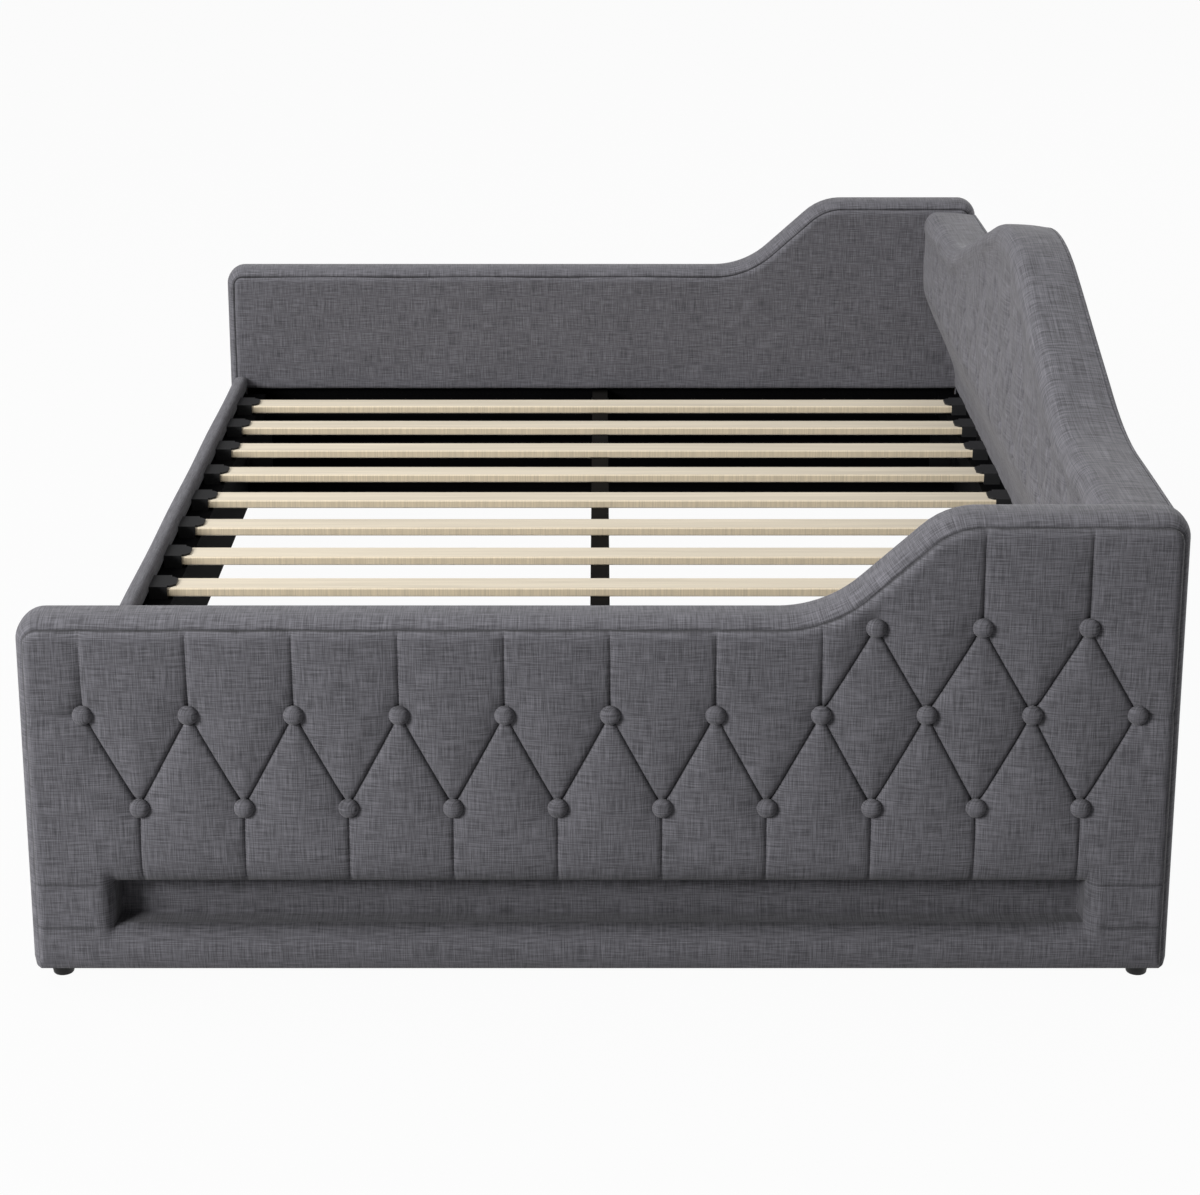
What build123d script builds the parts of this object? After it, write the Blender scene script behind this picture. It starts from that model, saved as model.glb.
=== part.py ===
"""A full-size upholstered daybed: two stepped tufted arms, a camel-back tufted backrest and a slatted deck.

Millimetres. X runs along the bed, Y from front to back and Z up, from a point on the floor under the middle.
"""

import os
from math import atan2, cos, degrees, radians, sin, tan

from build123d import *

# Overall
inner_length = 1930.0  # clear length between the two arms
overall_depth = 1470.0  # front of the arms to the rear of the backrest
foot_height = 20.0  # arms and rails stand this far off the floor
deck_height = 262.0  # top of the slats

# Arms, in layers from the inner face outwards
inner_pad_thickness = 27.0
arm_board_thickness = 18.0
arm_frame_thickness = 30.0
outer_pad_thickness = 20.0
arm_low_seam = 484.0  # height of the seam on the low front stretch
arm_tall_seam = 618.0  # height of the seam on the tall rear stretch
arm_corner_radius = 20.0
curve_run = 497.0  # from the foot of the S-curve to the back seam
curve_foot_radius = 165.0
curve_head_radius = 90.0
curve_slope = 42.0  # degrees, on the straight middle of the S-curve
pad_edge = 9.0  # each pad falls back this far towards its seam
inner_edge = 7.0
fabric_drop = 6.0  # the inner pad ends this far below the deck

# Border band between the two seams of an arm
band_edge = 2.0
band_crown = 11.0
band_shoulder = 26.0  # width over which the crown rises, from each seam

# Recess in the outer face of an arm
recess_bottom = 82.0
recess_top = 141.0
recess_end = 100.0  # from a side seam to the end of the recess
recess_lip = 14.0
recess_panel_thickness = 4.0
lining_thickness = 3.0

# Timber inside an arm
frame_member = 60.0
cleat_depth = 50.0
cleat_height = 40.0  # of the upper cleat, which carries the centre beam
dust_cover_thickness = 1.5

# Deep buttoning
tuft_pitch = 132.5
tuft_row_c = 246.0  # lowest row on an arm
tuft_row_b = 372.0
tuft_row_a = 488.0  # only on the tall stretch
tuft_front_margin = 72.0  # from the front seam to the first button of the middle row
tuft_back_margin = 40.0  # least distance from the back seam to a button
tuft_high_margin = 110.0  # the high row starts this far past the foot of the S-curve
dimple_depth = 10.0
dimple_radius = 25.0
dimple_sides = 6  # a pleat leaves by each corner
pleat_depth = 7.0
pleat_half_width = 15.0
pleat_margin = 8.0  # a pleat fades out this far from a seam
button_radius = 13.0
button_height = 8.0
button_taper = 28.0  # degrees
button_sides = 9
button_clearance = 0.5

# Backrest
back_low_top = 616.0  # highest line of the padding towards the arms, before its edge is eased
back_crest = 777.0  # and in the middle
back_board_thickness = 18.0
rear_cover_thickness = 8.0
back_hem = 3.0  # thin lower edge of the back pad
back_hem_height = 34.0
back_swell = 80.0  # thickness of the back pad at its ridge
back_swell_height = 198.0  # of that ridge, above the deck
back_swell_flat = 14.0  # the ridge is eased this far along each side
back_top_lean = 16.0  # the pad leans back this far from the ridge to the crest
back_top_slope = 15.0  # degrees, the padded top falls to the rear
back_roll_face = 34.0  # the front of the top is rolled this far down the face
back_roll_top = 26.0  # and this far back over the top
back_roll_ease = 9.0  # the two edges of that roll are eased again
back_roll = 14.0  # padding over the top of the board, at the rear
rear_cover_drop = 3.0  # from the rear edge of the padding down to the cover
back_crest_radius = 510.0
back_foot_radius = 710.0
back_slope = 17.5  # degrees
back_row_low = 206.0  # button rows, above the deck
back_row_middle = 303.0
back_row_crest = 400.0
back_dimple_depth = 16.0
back_end_margin = 95.0  # least distance from a button to an arm
back_crest_span = 230.0  # the crest row keeps within this distance of the middle

# Rails
rail_setback = 10.0
rail_board_thickness = 17.0
rail_pad = 6.0
rail_wrap = 3.0
rail_top = 282.0
rail_top_radius = 10.0
ledger_depth = 36.0
ledger_height = 40.0
back_rail_gap = 2.0  # between the back rail and the backrest above it

# Slatted deck
slat_count = 12
slat_pitch = 152.0
slat_width = 50.0
slat_thickness = 14.0
slat_edge = 2.0
slat_clearance = 0.3
holder_width = 56.0
holder_body = 28.0
holder_wall = 3.0
holder_tongue = 12.0
holder_tongue_width = 42.0
holder_tongue_corner = 8.0
beam_width = 30.0
beam_height = 40.0
saddle_thickness = 2.5
saddle_length = 30.0
saddle_height = 26.0
saddle_flange = 18.0

# Feet, legs and fastenings
arm_foot_radius = 17.0
foot_taper = 9.0  # degrees
foot_sides = 16
arm_foot_inset_y = 40.0
leg_x = 480.0
leg_width = 30.0
leg_plate_length = 70.0
leg_plate_thickness = 3.0
glide_radius = 19.0
glide_height = 10.0
bracket_slats = 4  # the back brackets stand this many slats from the middle, in a gap between two slats
bracket_prong = 18.0
bracket_gap = 14.0
bracket_above = 34.0
plate_thickness = 3.0
corner_leg = 45.0
corner_height = 90.0
corner_gap = 8.0  # from a corner bracket up to the upper cleat
lower_cleat_gap = 10.0  # from the lower cleat up to a corner bracket
bolt_radius = 6.5
bolt_sides = 6
bolt_head = 4.0
bolt_edge = 16.0

# Planes worked out from the sizes above
half_depth = overall_depth / 2
band_height = band_edge + band_crown
seam_back = half_depth - band_height
seam_front = -seam_back
curve_foot_y = seam_back - curve_run
recess_half_width = seam_back - recess_end
tuft_first_y = seam_front + tuft_front_margin
arm_inner_x = inner_length / 2
board_x = arm_inner_x + inner_pad_thickness
frame_x = board_x + arm_board_thickness
pad_x = frame_x + arm_frame_thickness
arm_outer_x = pad_x + outer_pad_thickness
dust_x = board_x - dust_cover_thickness
fabric_end = deck_height - fabric_drop
front_outer_y = -half_depth + rail_setback
front_inner_y = front_outer_y + rail_pad + rail_board_thickness + rail_wrap
back_board_y = half_depth - rear_cover_thickness - back_board_thickness
back_inner_y = back_board_y - back_hem
board_rear_y = back_board_y + back_board_thickness
back_swell_y = back_board_y - back_swell
back_top_y = back_swell_y + back_top_lean + back_roll_top  # of the highest line of the padding
back_fall = (board_rear_y - back_top_y) * tan(radians(back_top_slope))  # from there to the rear edge
slat_bottom = deck_height - slat_thickness
ledger_top = slat_bottom - holder_wall
beam_bottom = slat_bottom - beam_height
rail_face_y = front_inner_y - rail_wrap  # bare inner face of the front rail, under its fabric
bracket_x = bracket_slats * slat_pitch
upper_cleat_bottom = beam_bottom - cleat_height
corner_bottom = upper_cleat_bottom - corner_gap - corner_height
lower_cleat_top = corner_bottom - lower_cleat_gap


def box(x0, x1, y0, y1, z0, z1):
    """A block between two corners."""
    return Pos(x0, y0, z0) * Box(x1 - x0, y1 - y0, z1 - z0, align=(Align.MIN,) * 3)


def arm_edge():
    """The arm's edge seen from its side, from the front foot over the S-curve to the back foot."""
    corner = arm_corner_radius
    bend = radians(curve_slope)
    arcs_rise = (curve_foot_radius + curve_head_radius) * (1 - cos(bend))
    straight = (arm_tall_seam - arm_low_seam - arcs_rise) / sin(bend)
    front = Line((seam_front, foot_height), (seam_front, arm_low_seam - corner))
    front_corner = JernArc(front @ 1, (0, 1), corner, -90)
    low = Line(front_corner @ 1, (curve_foot_y, arm_low_seam))
    foot = JernArc(low @ 1, (1, 0), curve_foot_radius, curve_slope)
    slope = Line(foot @ 1, (foot @ 1) + (foot % 1) * straight)
    head = JernArc(slope @ 1, slope % 1, curve_head_radius, -curve_slope)
    tall = Line(head @ 1, (seam_back - corner, arm_tall_seam))
    back_corner = JernArc(tall @ 1, (1, 0), corner, -90)
    back = Line(back_corner @ 1, (seam_back, foot_height))
    return Curve() + [front, front_corner, low, foot, slope, head, tall, back_corner, back]


def arm_face():
    """The arm's outline as a flat face."""
    edge = arm_edge()
    return make_face(edge + Line(edge @ 1, edge @ 0))


def arm_layer(x, thickness):
    """One layer of the arm, with the full outline."""
    return extrude(Pos(x, 0, 0) * (Plane.YZ * arm_face()), thickness)


def front_edges(solid, facing):
    """The edges of the face that looks furthest along an axis."""
    return solid.faces().sort_by(facing)[-1].edges()


def arm_frame():
    """Timber posts and rails, open between them and at the recess."""
    low = recess_top + frame_member
    high = arm_low_seam - frame_member
    spans = (
        (seam_front + frame_member, curve_foot_y - frame_member / 2),
        (curve_foot_y + frame_member / 2, seam_back - frame_member),
    )
    frame = arm_layer(frame_x, arm_frame_thickness)
    for start, end in spans:
        frame -= box(frame_x, pad_x, start, end, low, high)
    return frame - box(frame_x, pad_x, -recess_half_width, recess_half_width, recess_bottom, recess_top)


def outer_upholstery():
    """The whole outer face of an arm with its falling edges, before it is parted at its seams."""
    window = Rectangle(2 * recess_half_width, recess_top - recess_bottom)
    window = Pos(0, (recess_top + recess_bottom) / 2) * window
    skin = extrude(Pos(pad_x, 0, 0) * (Plane.YZ * (arm_face() - window)), outer_pad_thickness)
    face = skin.faces().sort_by(Axis.X)[-1]
    skin = chamfer(face.inner_wires()[0].edges(), recess_lip)
    face = skin.faces().sort_by(Axis.X)[-1]
    return chamfer(face.outer_wire().edges(), pad_edge)


def tuft_columns(first, count):
    """Places along a row of buttons."""
    return [first + tuft_pitch * i for i in range(count)]


def arm_tufts():
    """The three rows of buttons on an arm, each as points (y, z), lowest row first."""
    count = int((seam_back - tuft_back_margin - tuft_first_y) // tuft_pitch) + 1
    middle = tuft_columns(tuft_first_y, count)
    low = tuft_columns(tuft_first_y + tuft_pitch / 2, count - 1)
    high = [y for y in low if y > curve_foot_y + tuft_high_margin]
    return (
        [(y, tuft_row_c) for y in low],
        [(y, tuft_row_b) for y in middle],
        [(y, tuft_row_a) for y in high],
    )


def neighbours(row_one, row_two):
    """Pairs of buttons half a pitch apart in two rows, which a diagonal pleat joins."""
    reach = 0.6 * tuft_pitch
    return [(a, b) for a in row_one for b in row_two if abs(a[0] - b[0]) < reach]


def pleat_plane(start, end, outward):
    """A plane across a pleat, with its y axis out of the fabric."""
    along = Vector(end) - Vector(start)
    return Plane(origin=start, x_dir=along.cross(Vector(outward)).normalized() * -1, z_dir=along.normalized())


def pleat_section(start, end, outward):
    """The V of a pleat, drawn to twice its size so that it clears the fabric."""
    points = ((-2 * pleat_half_width, pleat_depth), (0, -pleat_depth), (2 * pleat_half_width, pleat_depth))
    return pleat_plane(start, end, outward) * make_face(Polyline(*points, close=True))


def pleat(start, end, outward):
    """The cut of a pleat of even depth between two buttons."""
    return extrude(pleat_section(start, end, outward), (Vector(end) - Vector(start)).length)


def fading_pleat(start, end, outward):
    """The cut of a pleat whose bottom climbs to the fabric's face, so that it runs out at a seam."""
    climb = Vector(end) - Vector(start) + Vector(outward) * pleat_depth
    return extrude(pleat_section(start, end, outward), climb.length, dir=climb.normalized())


def facing(point, outward):
    """A plane on the fabric at a button, looking outwards."""
    return Plane(origin=point, z_dir=outward)


def dimple(point, outward, depth):
    """The cut round a button: flat where the button sits, then widening to the surface and past it."""
    floor = button_radius + button_clearance
    widening = degrees(atan2(dimple_radius - floor, depth))
    section = Pos(0, 0, -depth) * RegularPolygon(floor, dimple_sides, major_radius=False)
    return facing(point, outward) * extrude(section, 2 * depth, taper=-widening)


def button(point, outward, depth):
    """A fabric-covered button, seated on the floor of its dimple."""
    section = Pos(0, 0, -depth) * RegularPolygon(button_radius, button_sides)
    return facing(point, outward) * extrude(section, button_height, taper=button_taper)


def arm_point(tuft):
    """A button's place on the outer face of the right arm."""
    return (arm_outer_x, tuft[0], tuft[1])


def seam_height(y):
    """Height of the arm's top seam above a place along it, on the straight stretches."""
    return arm_tall_seam if y > curve_foot_y + curve_foot_radius else arm_low_seam


def arm_cuts():
    """Every pleat and dimple of the right arm's tufted face."""
    low, middle, high = arm_tufts()
    out = (1, 0, 0)
    cuts = [dimple(arm_point(tuft), out, dimple_depth) for row in (low, middle, high) for tuft in row]
    for a, b in neighbours(low, middle) + neighbours(middle, high):
        cuts.append(pleat(arm_point(a), arm_point(b), out))
    runs = [(tuft, (tuft[0], recess_top + pleat_margin)) for tuft in low]
    for y, z in middle:
        if y < curve_foot_y:
            runs.append(((y, z), (y, arm_low_seam - pleat_margin)))
    for y, z in high[1:]:
        runs.append(((y, z), (y, seam_height(y) - pleat_margin)))
    runs.append((middle[0], (seam_front + pleat_margin, tuft_row_b)))
    runs.append((middle[-1], (seam_back - pleat_margin, tuft_row_b)))
    return cuts + [fading_pleat(arm_point(a), arm_point(b), out) for a, b in runs]


def border_band():
    """The crowned fabric band that runs up one end of an arm, over its top and down the other end."""
    inner, outer = arm_inner_x + inner_edge, arm_outer_x - pad_edge
    above_foot = Pos(0, foot_height) * Rectangle(
        overall_depth, arm_tall_seam + band_height, align=(Align.CENTER, Align.MIN)
    )
    outline = offset(arm_face(), band_height) & above_foot
    whole = extrude(Pos(inner, 0, 0) * (Plane.YZ * outline), outer - inner)
    for side in (Axis.X, -Axis.X):
        face = whole.faces().sort_by(side)[-1]
        rim = face.edges().sort_by(Axis.Z)[1:]
        whole = chamfer(rim, band_crown, band_shoulder, reference=face)
    return whole - arm_layer(inner, outer - inner)


def inner_pad():
    """The plain padded inner face, down to just below the deck."""
    pad = arm_layer(arm_inner_x, inner_pad_thickness)
    pad -= box(arm_inner_x, board_x, seam_front, seam_back, foot_height, fabric_end)
    rim = front_edges(pad, -Axis.X).filter_by(lambda edge: edge.center().Z > fabric_end + 1)
    return chamfer(rim, inner_edge)


def edge_returns():
    """Padding that carries the fabric round the front and back edges, where the rails meet the arm."""
    front = box(arm_inner_x, board_x, seam_front, rail_face_y, foot_height, fabric_end)
    back = box(arm_inner_x, board_x, back_inner_y, seam_back, foot_height, fabric_end)
    return [front, back]


def recess_lining():
    """Fabric strips on the four walls of the recess."""
    side, wall = recess_half_width, lining_thickness
    front = frame_x + recess_panel_thickness
    return [
        box(front, pad_x, -side, side, recess_bottom, recess_bottom + wall),
        box(front, pad_x, -side, side, recess_top - wall, recess_top),
        box(front, pad_x, -side, wall - side, recess_bottom + wall, recess_top - wall),
        box(front, pad_x, side - wall, side, recess_bottom + wall, recess_top - wall),
    ]


def arm_nodes():
    """The right arm's pieces by name."""
    skin = outer_upholstery()
    above = box(pad_x, arm_outer_x, seam_front, seam_back, recess_top, arm_tall_seam)
    beside = box(pad_x, arm_outer_x, seam_front, seam_back, recess_bottom, recess_top)
    below = box(pad_x, arm_outer_x, seam_front, seam_back, foot_height, recess_bottom)
    panel_end = frame_x + recess_panel_thickness
    deck_front, deck_back = rail_face_y, back_inner_y
    upper_front, upper_back = front_inner_y + ledger_depth, back_inner_y - ledger_depth
    out = (1, 0, 0)
    return {
        "arm_board": arm_layer(board_x, arm_board_thickness),
        "arm_frame": arm_frame(),
        "arm_tufted_pad": (skin & above) - arm_cuts(),
        "arm_end_pads": (skin & beside).solids(),
        "arm_base_roll": skin & below,
        "arm_recess_panel": box(
            frame_x, panel_end, -recess_half_width, recess_half_width, recess_bottom, recess_top
        ),
        "arm_recess_lining": recess_lining(),
        "arm_inner_pad": inner_pad(),
        "arm_border_band": border_band(),
        "arm_edge_returns": edge_returns(),
        "arm_buttons": [
            button(arm_point(tuft), out, dimple_depth) for row in arm_tufts() for tuft in row
        ],
        "arm_upper_cleat": box(
            dust_x - cleat_depth, dust_x, upper_front, upper_back, upper_cleat_bottom, beam_bottom
        ),
        "arm_lower_cleat": box(
            dust_x - cleat_depth, dust_x, deck_front, deck_back, foot_height, lower_cleat_top
        ),
        "arm_dust_cover": box(dust_x, board_x, deck_front, deck_back, foot_height, fabric_end),
    }


def back_top(drop):
    """The camel-back top line from left to right, lowered by a drop, with the panel closed under it."""
    bend = radians(back_slope)
    arcs_rise = (back_crest_radius + back_foot_radius) * (1 - cos(bend))
    straight = (back_crest - back_low_top - arcs_rise) / sin(bend)
    run = (back_crest_radius + back_foot_radius) * sin(bend) + straight * cos(bend)
    low = Line((-arm_inner_x, back_low_top - drop), (-run, back_low_top - drop))
    foot = JernArc(low @ 1, (1, 0), back_foot_radius, back_slope)
    rise = Line(foot @ 1, (foot @ 1) + (foot % 1) * straight)
    crest = JernArc(rise @ 1, rise % 1, back_crest_radius, -2 * back_slope)
    fall = Line(crest @ 1, (crest @ 1) + (crest % 1) * straight)
    far_foot = JernArc(fall @ 1, fall % 1, back_foot_radius, back_slope)
    far_low = Line(far_foot @ 1, (arm_inner_x, back_low_top - drop))
    sides = Polyline(
        far_low @ 1, (arm_inner_x, deck_height), (-arm_inner_x, deck_height), low @ 0
    )
    return make_face(Curve() + [low, foot, rise, crest, fall, far_foot, far_low, sides])


def back_slab(y0, y1, drop):
    """A panel of the backrest between two planes."""
    return extrude(Pos(0, y0, 0) * (Plane.XZ * back_top(drop)), -(y1 - y0))


def back_front_y(height):
    """Place of the pad's front at a height above the deck, from the swell up."""
    lean = back_top_lean / (back_crest - deck_height - back_swell_height)
    return back_swell_y + lean * (height - back_swell_height)


def back_profile():
    """Section of the back pad: thin hem, taper out to the ridge, then leaning back past the top."""
    ridge = (back_swell_y, deck_height + back_swell_height)
    high = back_crest + back_roll_face
    hem = ((back_inner_y, deck_height), (back_inner_y, deck_height + back_hem_height))
    face = make_face(
        Polyline(
            (board_rear_y, deck_height),
            *hem,
            ridge,
            (back_front_y(high - deck_height), high),
            (board_rear_y, high),
            close=True,
        )
    )
    return chamfer(face.vertices().sort_by(Axis.X)[0], back_swell_flat)


def falling_top():
    """The camel-back carried to the rear on a falling line, so that the padded top sheds backwards."""
    fall = radians(back_top_slope)
    rise = (back_top_y - back_swell_y) * tan(fall)
    length = (board_rear_y - back_swell_y) / cos(fall)
    start = Pos(0, back_swell_y, 0) * (Plane.XZ * back_top(-rise))
    return extrude(start, length, dir=(0, cos(fall), -sin(fall)))


def leaning_face(pad):
    """The upper front of the back pad, above its ridge."""
    return max(pad.faces(), key=lambda face: face.normal_at().dot(back_outward()))


def along_top(shape):
    """The edges that follow the camel-back on the front half of the back pad's top."""
    return shape.edges().filter_by(
        lambda edge: edge.center().Z > back_low_top - back_roll_face
        and edge.center().Y < back_board_y
        and abs((edge % 0.5).X) > cos(radians(2 * back_slope))
    )


def back_pad_form():
    """The back pad before buttoning: a section along the bed, cut to the camel-back and rolled at the top."""
    whole = extrude(Pos(-arm_inner_x, 0, 0) * (Plane.YZ * back_profile()), inner_length)
    pad = whole & falling_top()
    face = leaning_face(pad)
    pad = chamfer(along_top(face), back_roll_face, back_roll_top, reference=face)
    pad = chamfer(along_top(pad), back_roll_ease)
    return pad - back_slab(back_board_y, board_rear_y, back_fall + back_roll)


def back_tufts():
    """Rows of buttons on the back pad as points (x, height above the deck), lowest row first."""
    low_count = int((inner_length - 2 * back_end_margin) // tuft_pitch) + 1
    first = -(low_count - 1) / 2 * tuft_pitch
    low = tuft_columns(first, low_count)
    middle = tuft_columns(first + tuft_pitch / 2, low_count - 1)
    crest = [x for x in low if abs(x) < back_crest_span]
    return (
        [(x, back_row_low) for x in low],
        [(x, back_row_middle) for x in middle],
        [(x, back_row_crest) for x in crest],
    )


def back_point(tuft):
    """A place on the leaning face of the back pad."""
    x, height = tuft
    return (x, back_front_y(height), deck_height + height)


def back_outward():
    """The way that the leaning face of the back pad looks."""
    return Vector(0, -(back_crest - deck_height - back_swell_height), back_top_lean).normalized()


def back_top_height(x):
    """Height of the camel-back above the deck, beside the middle."""
    bend = radians(back_slope)
    crest_half = back_crest_radius * sin(bend)
    shoulder = back_crest - back_crest_radius * (1 - cos(bend))
    slope = shoulder - (abs(x) - crest_half) * tan(bend)
    return max(slope if abs(x) > crest_half else shoulder, back_low_top) - deck_height


def back_cuts():
    """Every pleat and dimple of the back pad."""
    low, middle, crest = back_tufts()
    out = tuple(back_outward())
    cuts = [
        dimple(back_point(tuft), out, back_dimple_depth) for row in (low, middle, crest) for tuft in row
    ]
    for a, b in neighbours(low, middle) + neighbours(middle, crest):
        cuts.append(pleat(back_point(a), back_point(b), out))
    crest_end = max(x for x, height in crest)
    topped = crest + [tuft for tuft in middle if abs(tuft[0]) > crest_end]
    for x, height in topped:
        end = (x, back_top_height(x) - back_roll_face)
        cuts.append(fading_pleat(back_point((x, height)), back_point(end), out))
    hem_rise = back_swell_height - back_hem_height
    taper_out = tuple(Vector(0, -hem_rise, back_hem - back_swell).normalized())
    for x, height in low:
        ridge = (x, back_swell_y, deck_height + back_swell_height)
        hem = (x, back_inner_y, deck_height + back_hem_height)
        cuts.append(pleat(back_point((x, height)), ridge, out))
        cuts.append(fading_pleat(ridge, hem, taper_out))
    return cuts


def back_nodes():
    """The backrest's pieces by name."""
    out = tuple(back_outward())
    rail_high = deck_height - back_rail_gap
    rail = (-arm_inner_x, arm_inner_x)
    rear_cover = back_slab(board_rear_y, half_depth, back_fall + rear_cover_drop)
    rail_cover = box(*rail, board_rear_y, half_depth, foot_height, rail_high)
    return {
        "back_board": back_slab(back_board_y, board_rear_y, back_fall + back_roll),
        "back_pad": back_pad_form() - back_cuts(),
        "back_rear_cover": chamfer(front_edges(rear_cover, Axis.Y), rear_cover_thickness / 2),
        "back_buttons": [
            button(back_point(tuft), out, back_dimple_depth) for row in back_tufts() for tuft in row
        ],
        "back_rail": box(*rail, back_inner_y, board_rear_y, foot_height, rail_high),
        "back_rail_cover": chamfer(front_edges(rail_cover, Axis.Y), rear_cover_thickness / 2),
        "back_ledger": box(
            *rail, back_inner_y - ledger_depth, back_inner_y, ledger_top - ledger_height, ledger_top
        ),
        "back_brackets": [back_bracket(side * bracket_x) for side in (-1, 1)],
    }


def back_bracket(x):
    """A forked plate that joins the backrest to the back rail."""
    half = bracket_prong + bracket_gap / 2
    slot = bracket_gap / 2
    faces = (back_inner_y - plate_thickness, back_inner_y)
    top = deck_height + bracket_above
    plate = box(x - half, x + half, *faces, ledger_top, top)
    return plate - box(x - slot, x + slot, *faces, deck_height, top)


def front_cover():
    """The upholstery of the front rail: outside, over the top and a short way down the inside."""
    board_front = front_outer_y + rail_pad
    board_top = rail_top - rail_top_radius
    block = box(-arm_inner_x, arm_inner_x, front_outer_y, front_inner_y, foot_height, rail_top)
    rolled = block.edges().filter_by(Axis.X).group_by(Axis.Z)[-1]
    block = fillet(rolled, rail_top_radius)
    block -= box(-arm_inner_x, arm_inner_x, board_front, rail_face_y, foot_height, board_top)
    return block - box(-arm_inner_x, arm_inner_x, rail_face_y, front_inner_y, foot_height, fabric_end)


def front_nodes():
    """The front rail's pieces by name."""
    rail = (-arm_inner_x, arm_inner_x)
    board_front = front_outer_y + rail_pad
    board_top = rail_top - rail_top_radius
    ledger_edge = front_inner_y + ledger_depth
    return {
        "front_rail_board": box(*rail, board_front, rail_face_y, foot_height, board_top),
        "front_rail_cover": front_cover(),
        "front_ledger": box(*rail, rail_face_y, ledger_edge, ledger_top - ledger_height, ledger_top),
    }


def slat_places():
    """Middles of the slats along the bed."""
    return [(i - (slat_count - 1) / 2) * slat_pitch for i in range(slat_count)]


def slat(x):
    """One slat with softened long edges, from the end of one holder to the other."""
    end = holder_wall + slat_clearance
    board = box(
        x - slat_width / 2,
        x + slat_width / 2,
        front_inner_y + end,
        back_inner_y - end,
        slat_bottom,
        deck_height,
    )
    return chamfer(board.edges().filter_by(Axis.Y), slat_edge)


def slat_holder():
    """A plastic cap for a slat's front end, about x = 0: pocket, roof and a rounded tongue over the slat."""
    outer_y = front_inner_y
    pocket = slat_width / 2 + slat_clearance
    roof = deck_height + slat_clearance
    cap = box(
        -holder_width / 2, holder_width / 2, outer_y, outer_y + holder_body, ledger_top, roof + holder_wall
    )
    tongue = Rectangle(holder_tongue_width, 2 * holder_tongue)
    tongue = chamfer(tongue.vertices(), holder_tongue_corner)
    cap += extrude(Pos(0, outer_y + holder_body, roof) * tongue, holder_wall)
    return cap - box(-pocket, pocket, outer_y + holder_wall, outer_y + 2 * holder_body, slat_bottom, roof)


def beam_saddle(end, side):
    """An angle that holds one end of the centre beam on its cleat, on one side of the beam."""
    middle = end * (dust_x - cleat_depth / 2)
    face = side * beam_width / 2
    x0, x1 = middle - saddle_length / 2, middle + saddle_length / 2
    wall = sorted((face, face + side * saddle_thickness))
    flange = sorted((face, face + side * saddle_flange))
    upright = box(x0, x1, *wall, beam_bottom, beam_bottom + saddle_height)
    return upright + box(x0, x1, *flange, beam_bottom, beam_bottom + saddle_thickness)


def centre_leg(x):
    """A square leg under the beam with a plate at its top."""
    half = leg_width / 2
    plate_bottom = beam_bottom - leg_plate_thickness
    plate = box(x - leg_plate_length / 2, x + leg_plate_length / 2, -half, half, plate_bottom, beam_bottom)
    return plate + box(x - half, x + half, -half, half, glide_height, plate_bottom)


def foot(x, y, radius, height):
    """A round foot on the floor, narrower at its bottom."""
    top = Pos(x, y, height) * RegularPolygon(radius, foot_sides)
    return extrude(top, -height, taper=foot_taper)


def deck_nodes():
    """The slatted deck and what carries it, by name."""
    front = slat_holder()
    middle = (front_inner_y + back_inner_y) / 2
    back = mirror(front, about=Plane.XZ.offset(-middle))
    beam_end = dust_x
    nodes = {
        "front_slat_holders": [Pos(x, 0, 0) * front for x in slat_places()],
        "back_slat_holders": [Pos(x, 0, 0) * back for x in slat_places()],
        "centre_beam": box(-beam_end, beam_end, -beam_width / 2, beam_width / 2, beam_bottom, slat_bottom),
        "beam_saddles": [beam_saddle(end, side) for end in (-1, 1) for side in (-1, 1)],
        "centre_legs": [centre_leg(side * leg_x) for side in (-1, 1)],
        "leg_glides": [foot(side * leg_x, 0, glide_radius, glide_height) for side in (-1, 1)],
    }
    for number, x in enumerate(slat_places(), start=1):
        nodes[f"slat_{number:02d}"] = slat(x)
    return nodes


def corner_bracket(end, side):
    """An angle between a rail's inner face and an arm, under the deck."""
    wall_x, wall_y = end * dust_x, rail_face_y if side < 0 else back_inner_y
    low, high = corner_bottom, corner_bottom + corner_height
    along = sorted((wall_x, wall_x - end * corner_leg))
    across = sorted((wall_y, wall_y - side * corner_leg))
    thin_x = sorted((wall_x, wall_x - end * plate_thickness))
    thin_y = sorted((wall_y, wall_y - side * plate_thickness))
    return box(*along, *thin_y, low, high) + box(*thin_x, *across, low, high)


def bolt(point, outward):
    """A hexagon bolt head seated on a plate."""
    return facing(point, outward) * extrude(RegularPolygon(bolt_radius, bolt_sides), bolt_head)


def bolt_places():
    """Bolt heads on the corner brackets and on the back brackets, each as a point and the way it looks."""
    places = []
    heights = (corner_bottom + bolt_edge, corner_bottom + corner_height - bolt_edge)
    for end in (-1, 1):
        for side in (-1, 1):
            wall_y = rail_face_y if side < 0 else back_inner_y
            x = end * (dust_x - corner_leg + bolt_edge)
            for z in heights:
                places.append(((x, wall_y - side * plate_thickness, z), (0, -side, 0)))
    for side in (-1, 1):
        middle = (ledger_top + deck_height - back_rail_gap) / 2
        places.append(((side * bracket_x, back_inner_y - plate_thickness, middle), (0, -1, 0)))
    return places


def floor_nodes():
    """Feet and fastenings by name."""
    foot_x = (board_x + pad_x) / 2
    foot_y = seam_back - arm_foot_inset_y + arm_foot_radius
    corners = [(end, side) for end in (-1, 1) for side in (-1, 1)]
    return {
        "arm_feet": [
            foot(end * foot_x, side * foot_y, arm_foot_radius, foot_height) for end, side in corners
        ],
        "corner_brackets": [corner_bracket(end, side) for end, side in corners],
        "frame_bolts": [bolt(*place) for place in bolt_places()],
    }


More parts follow.
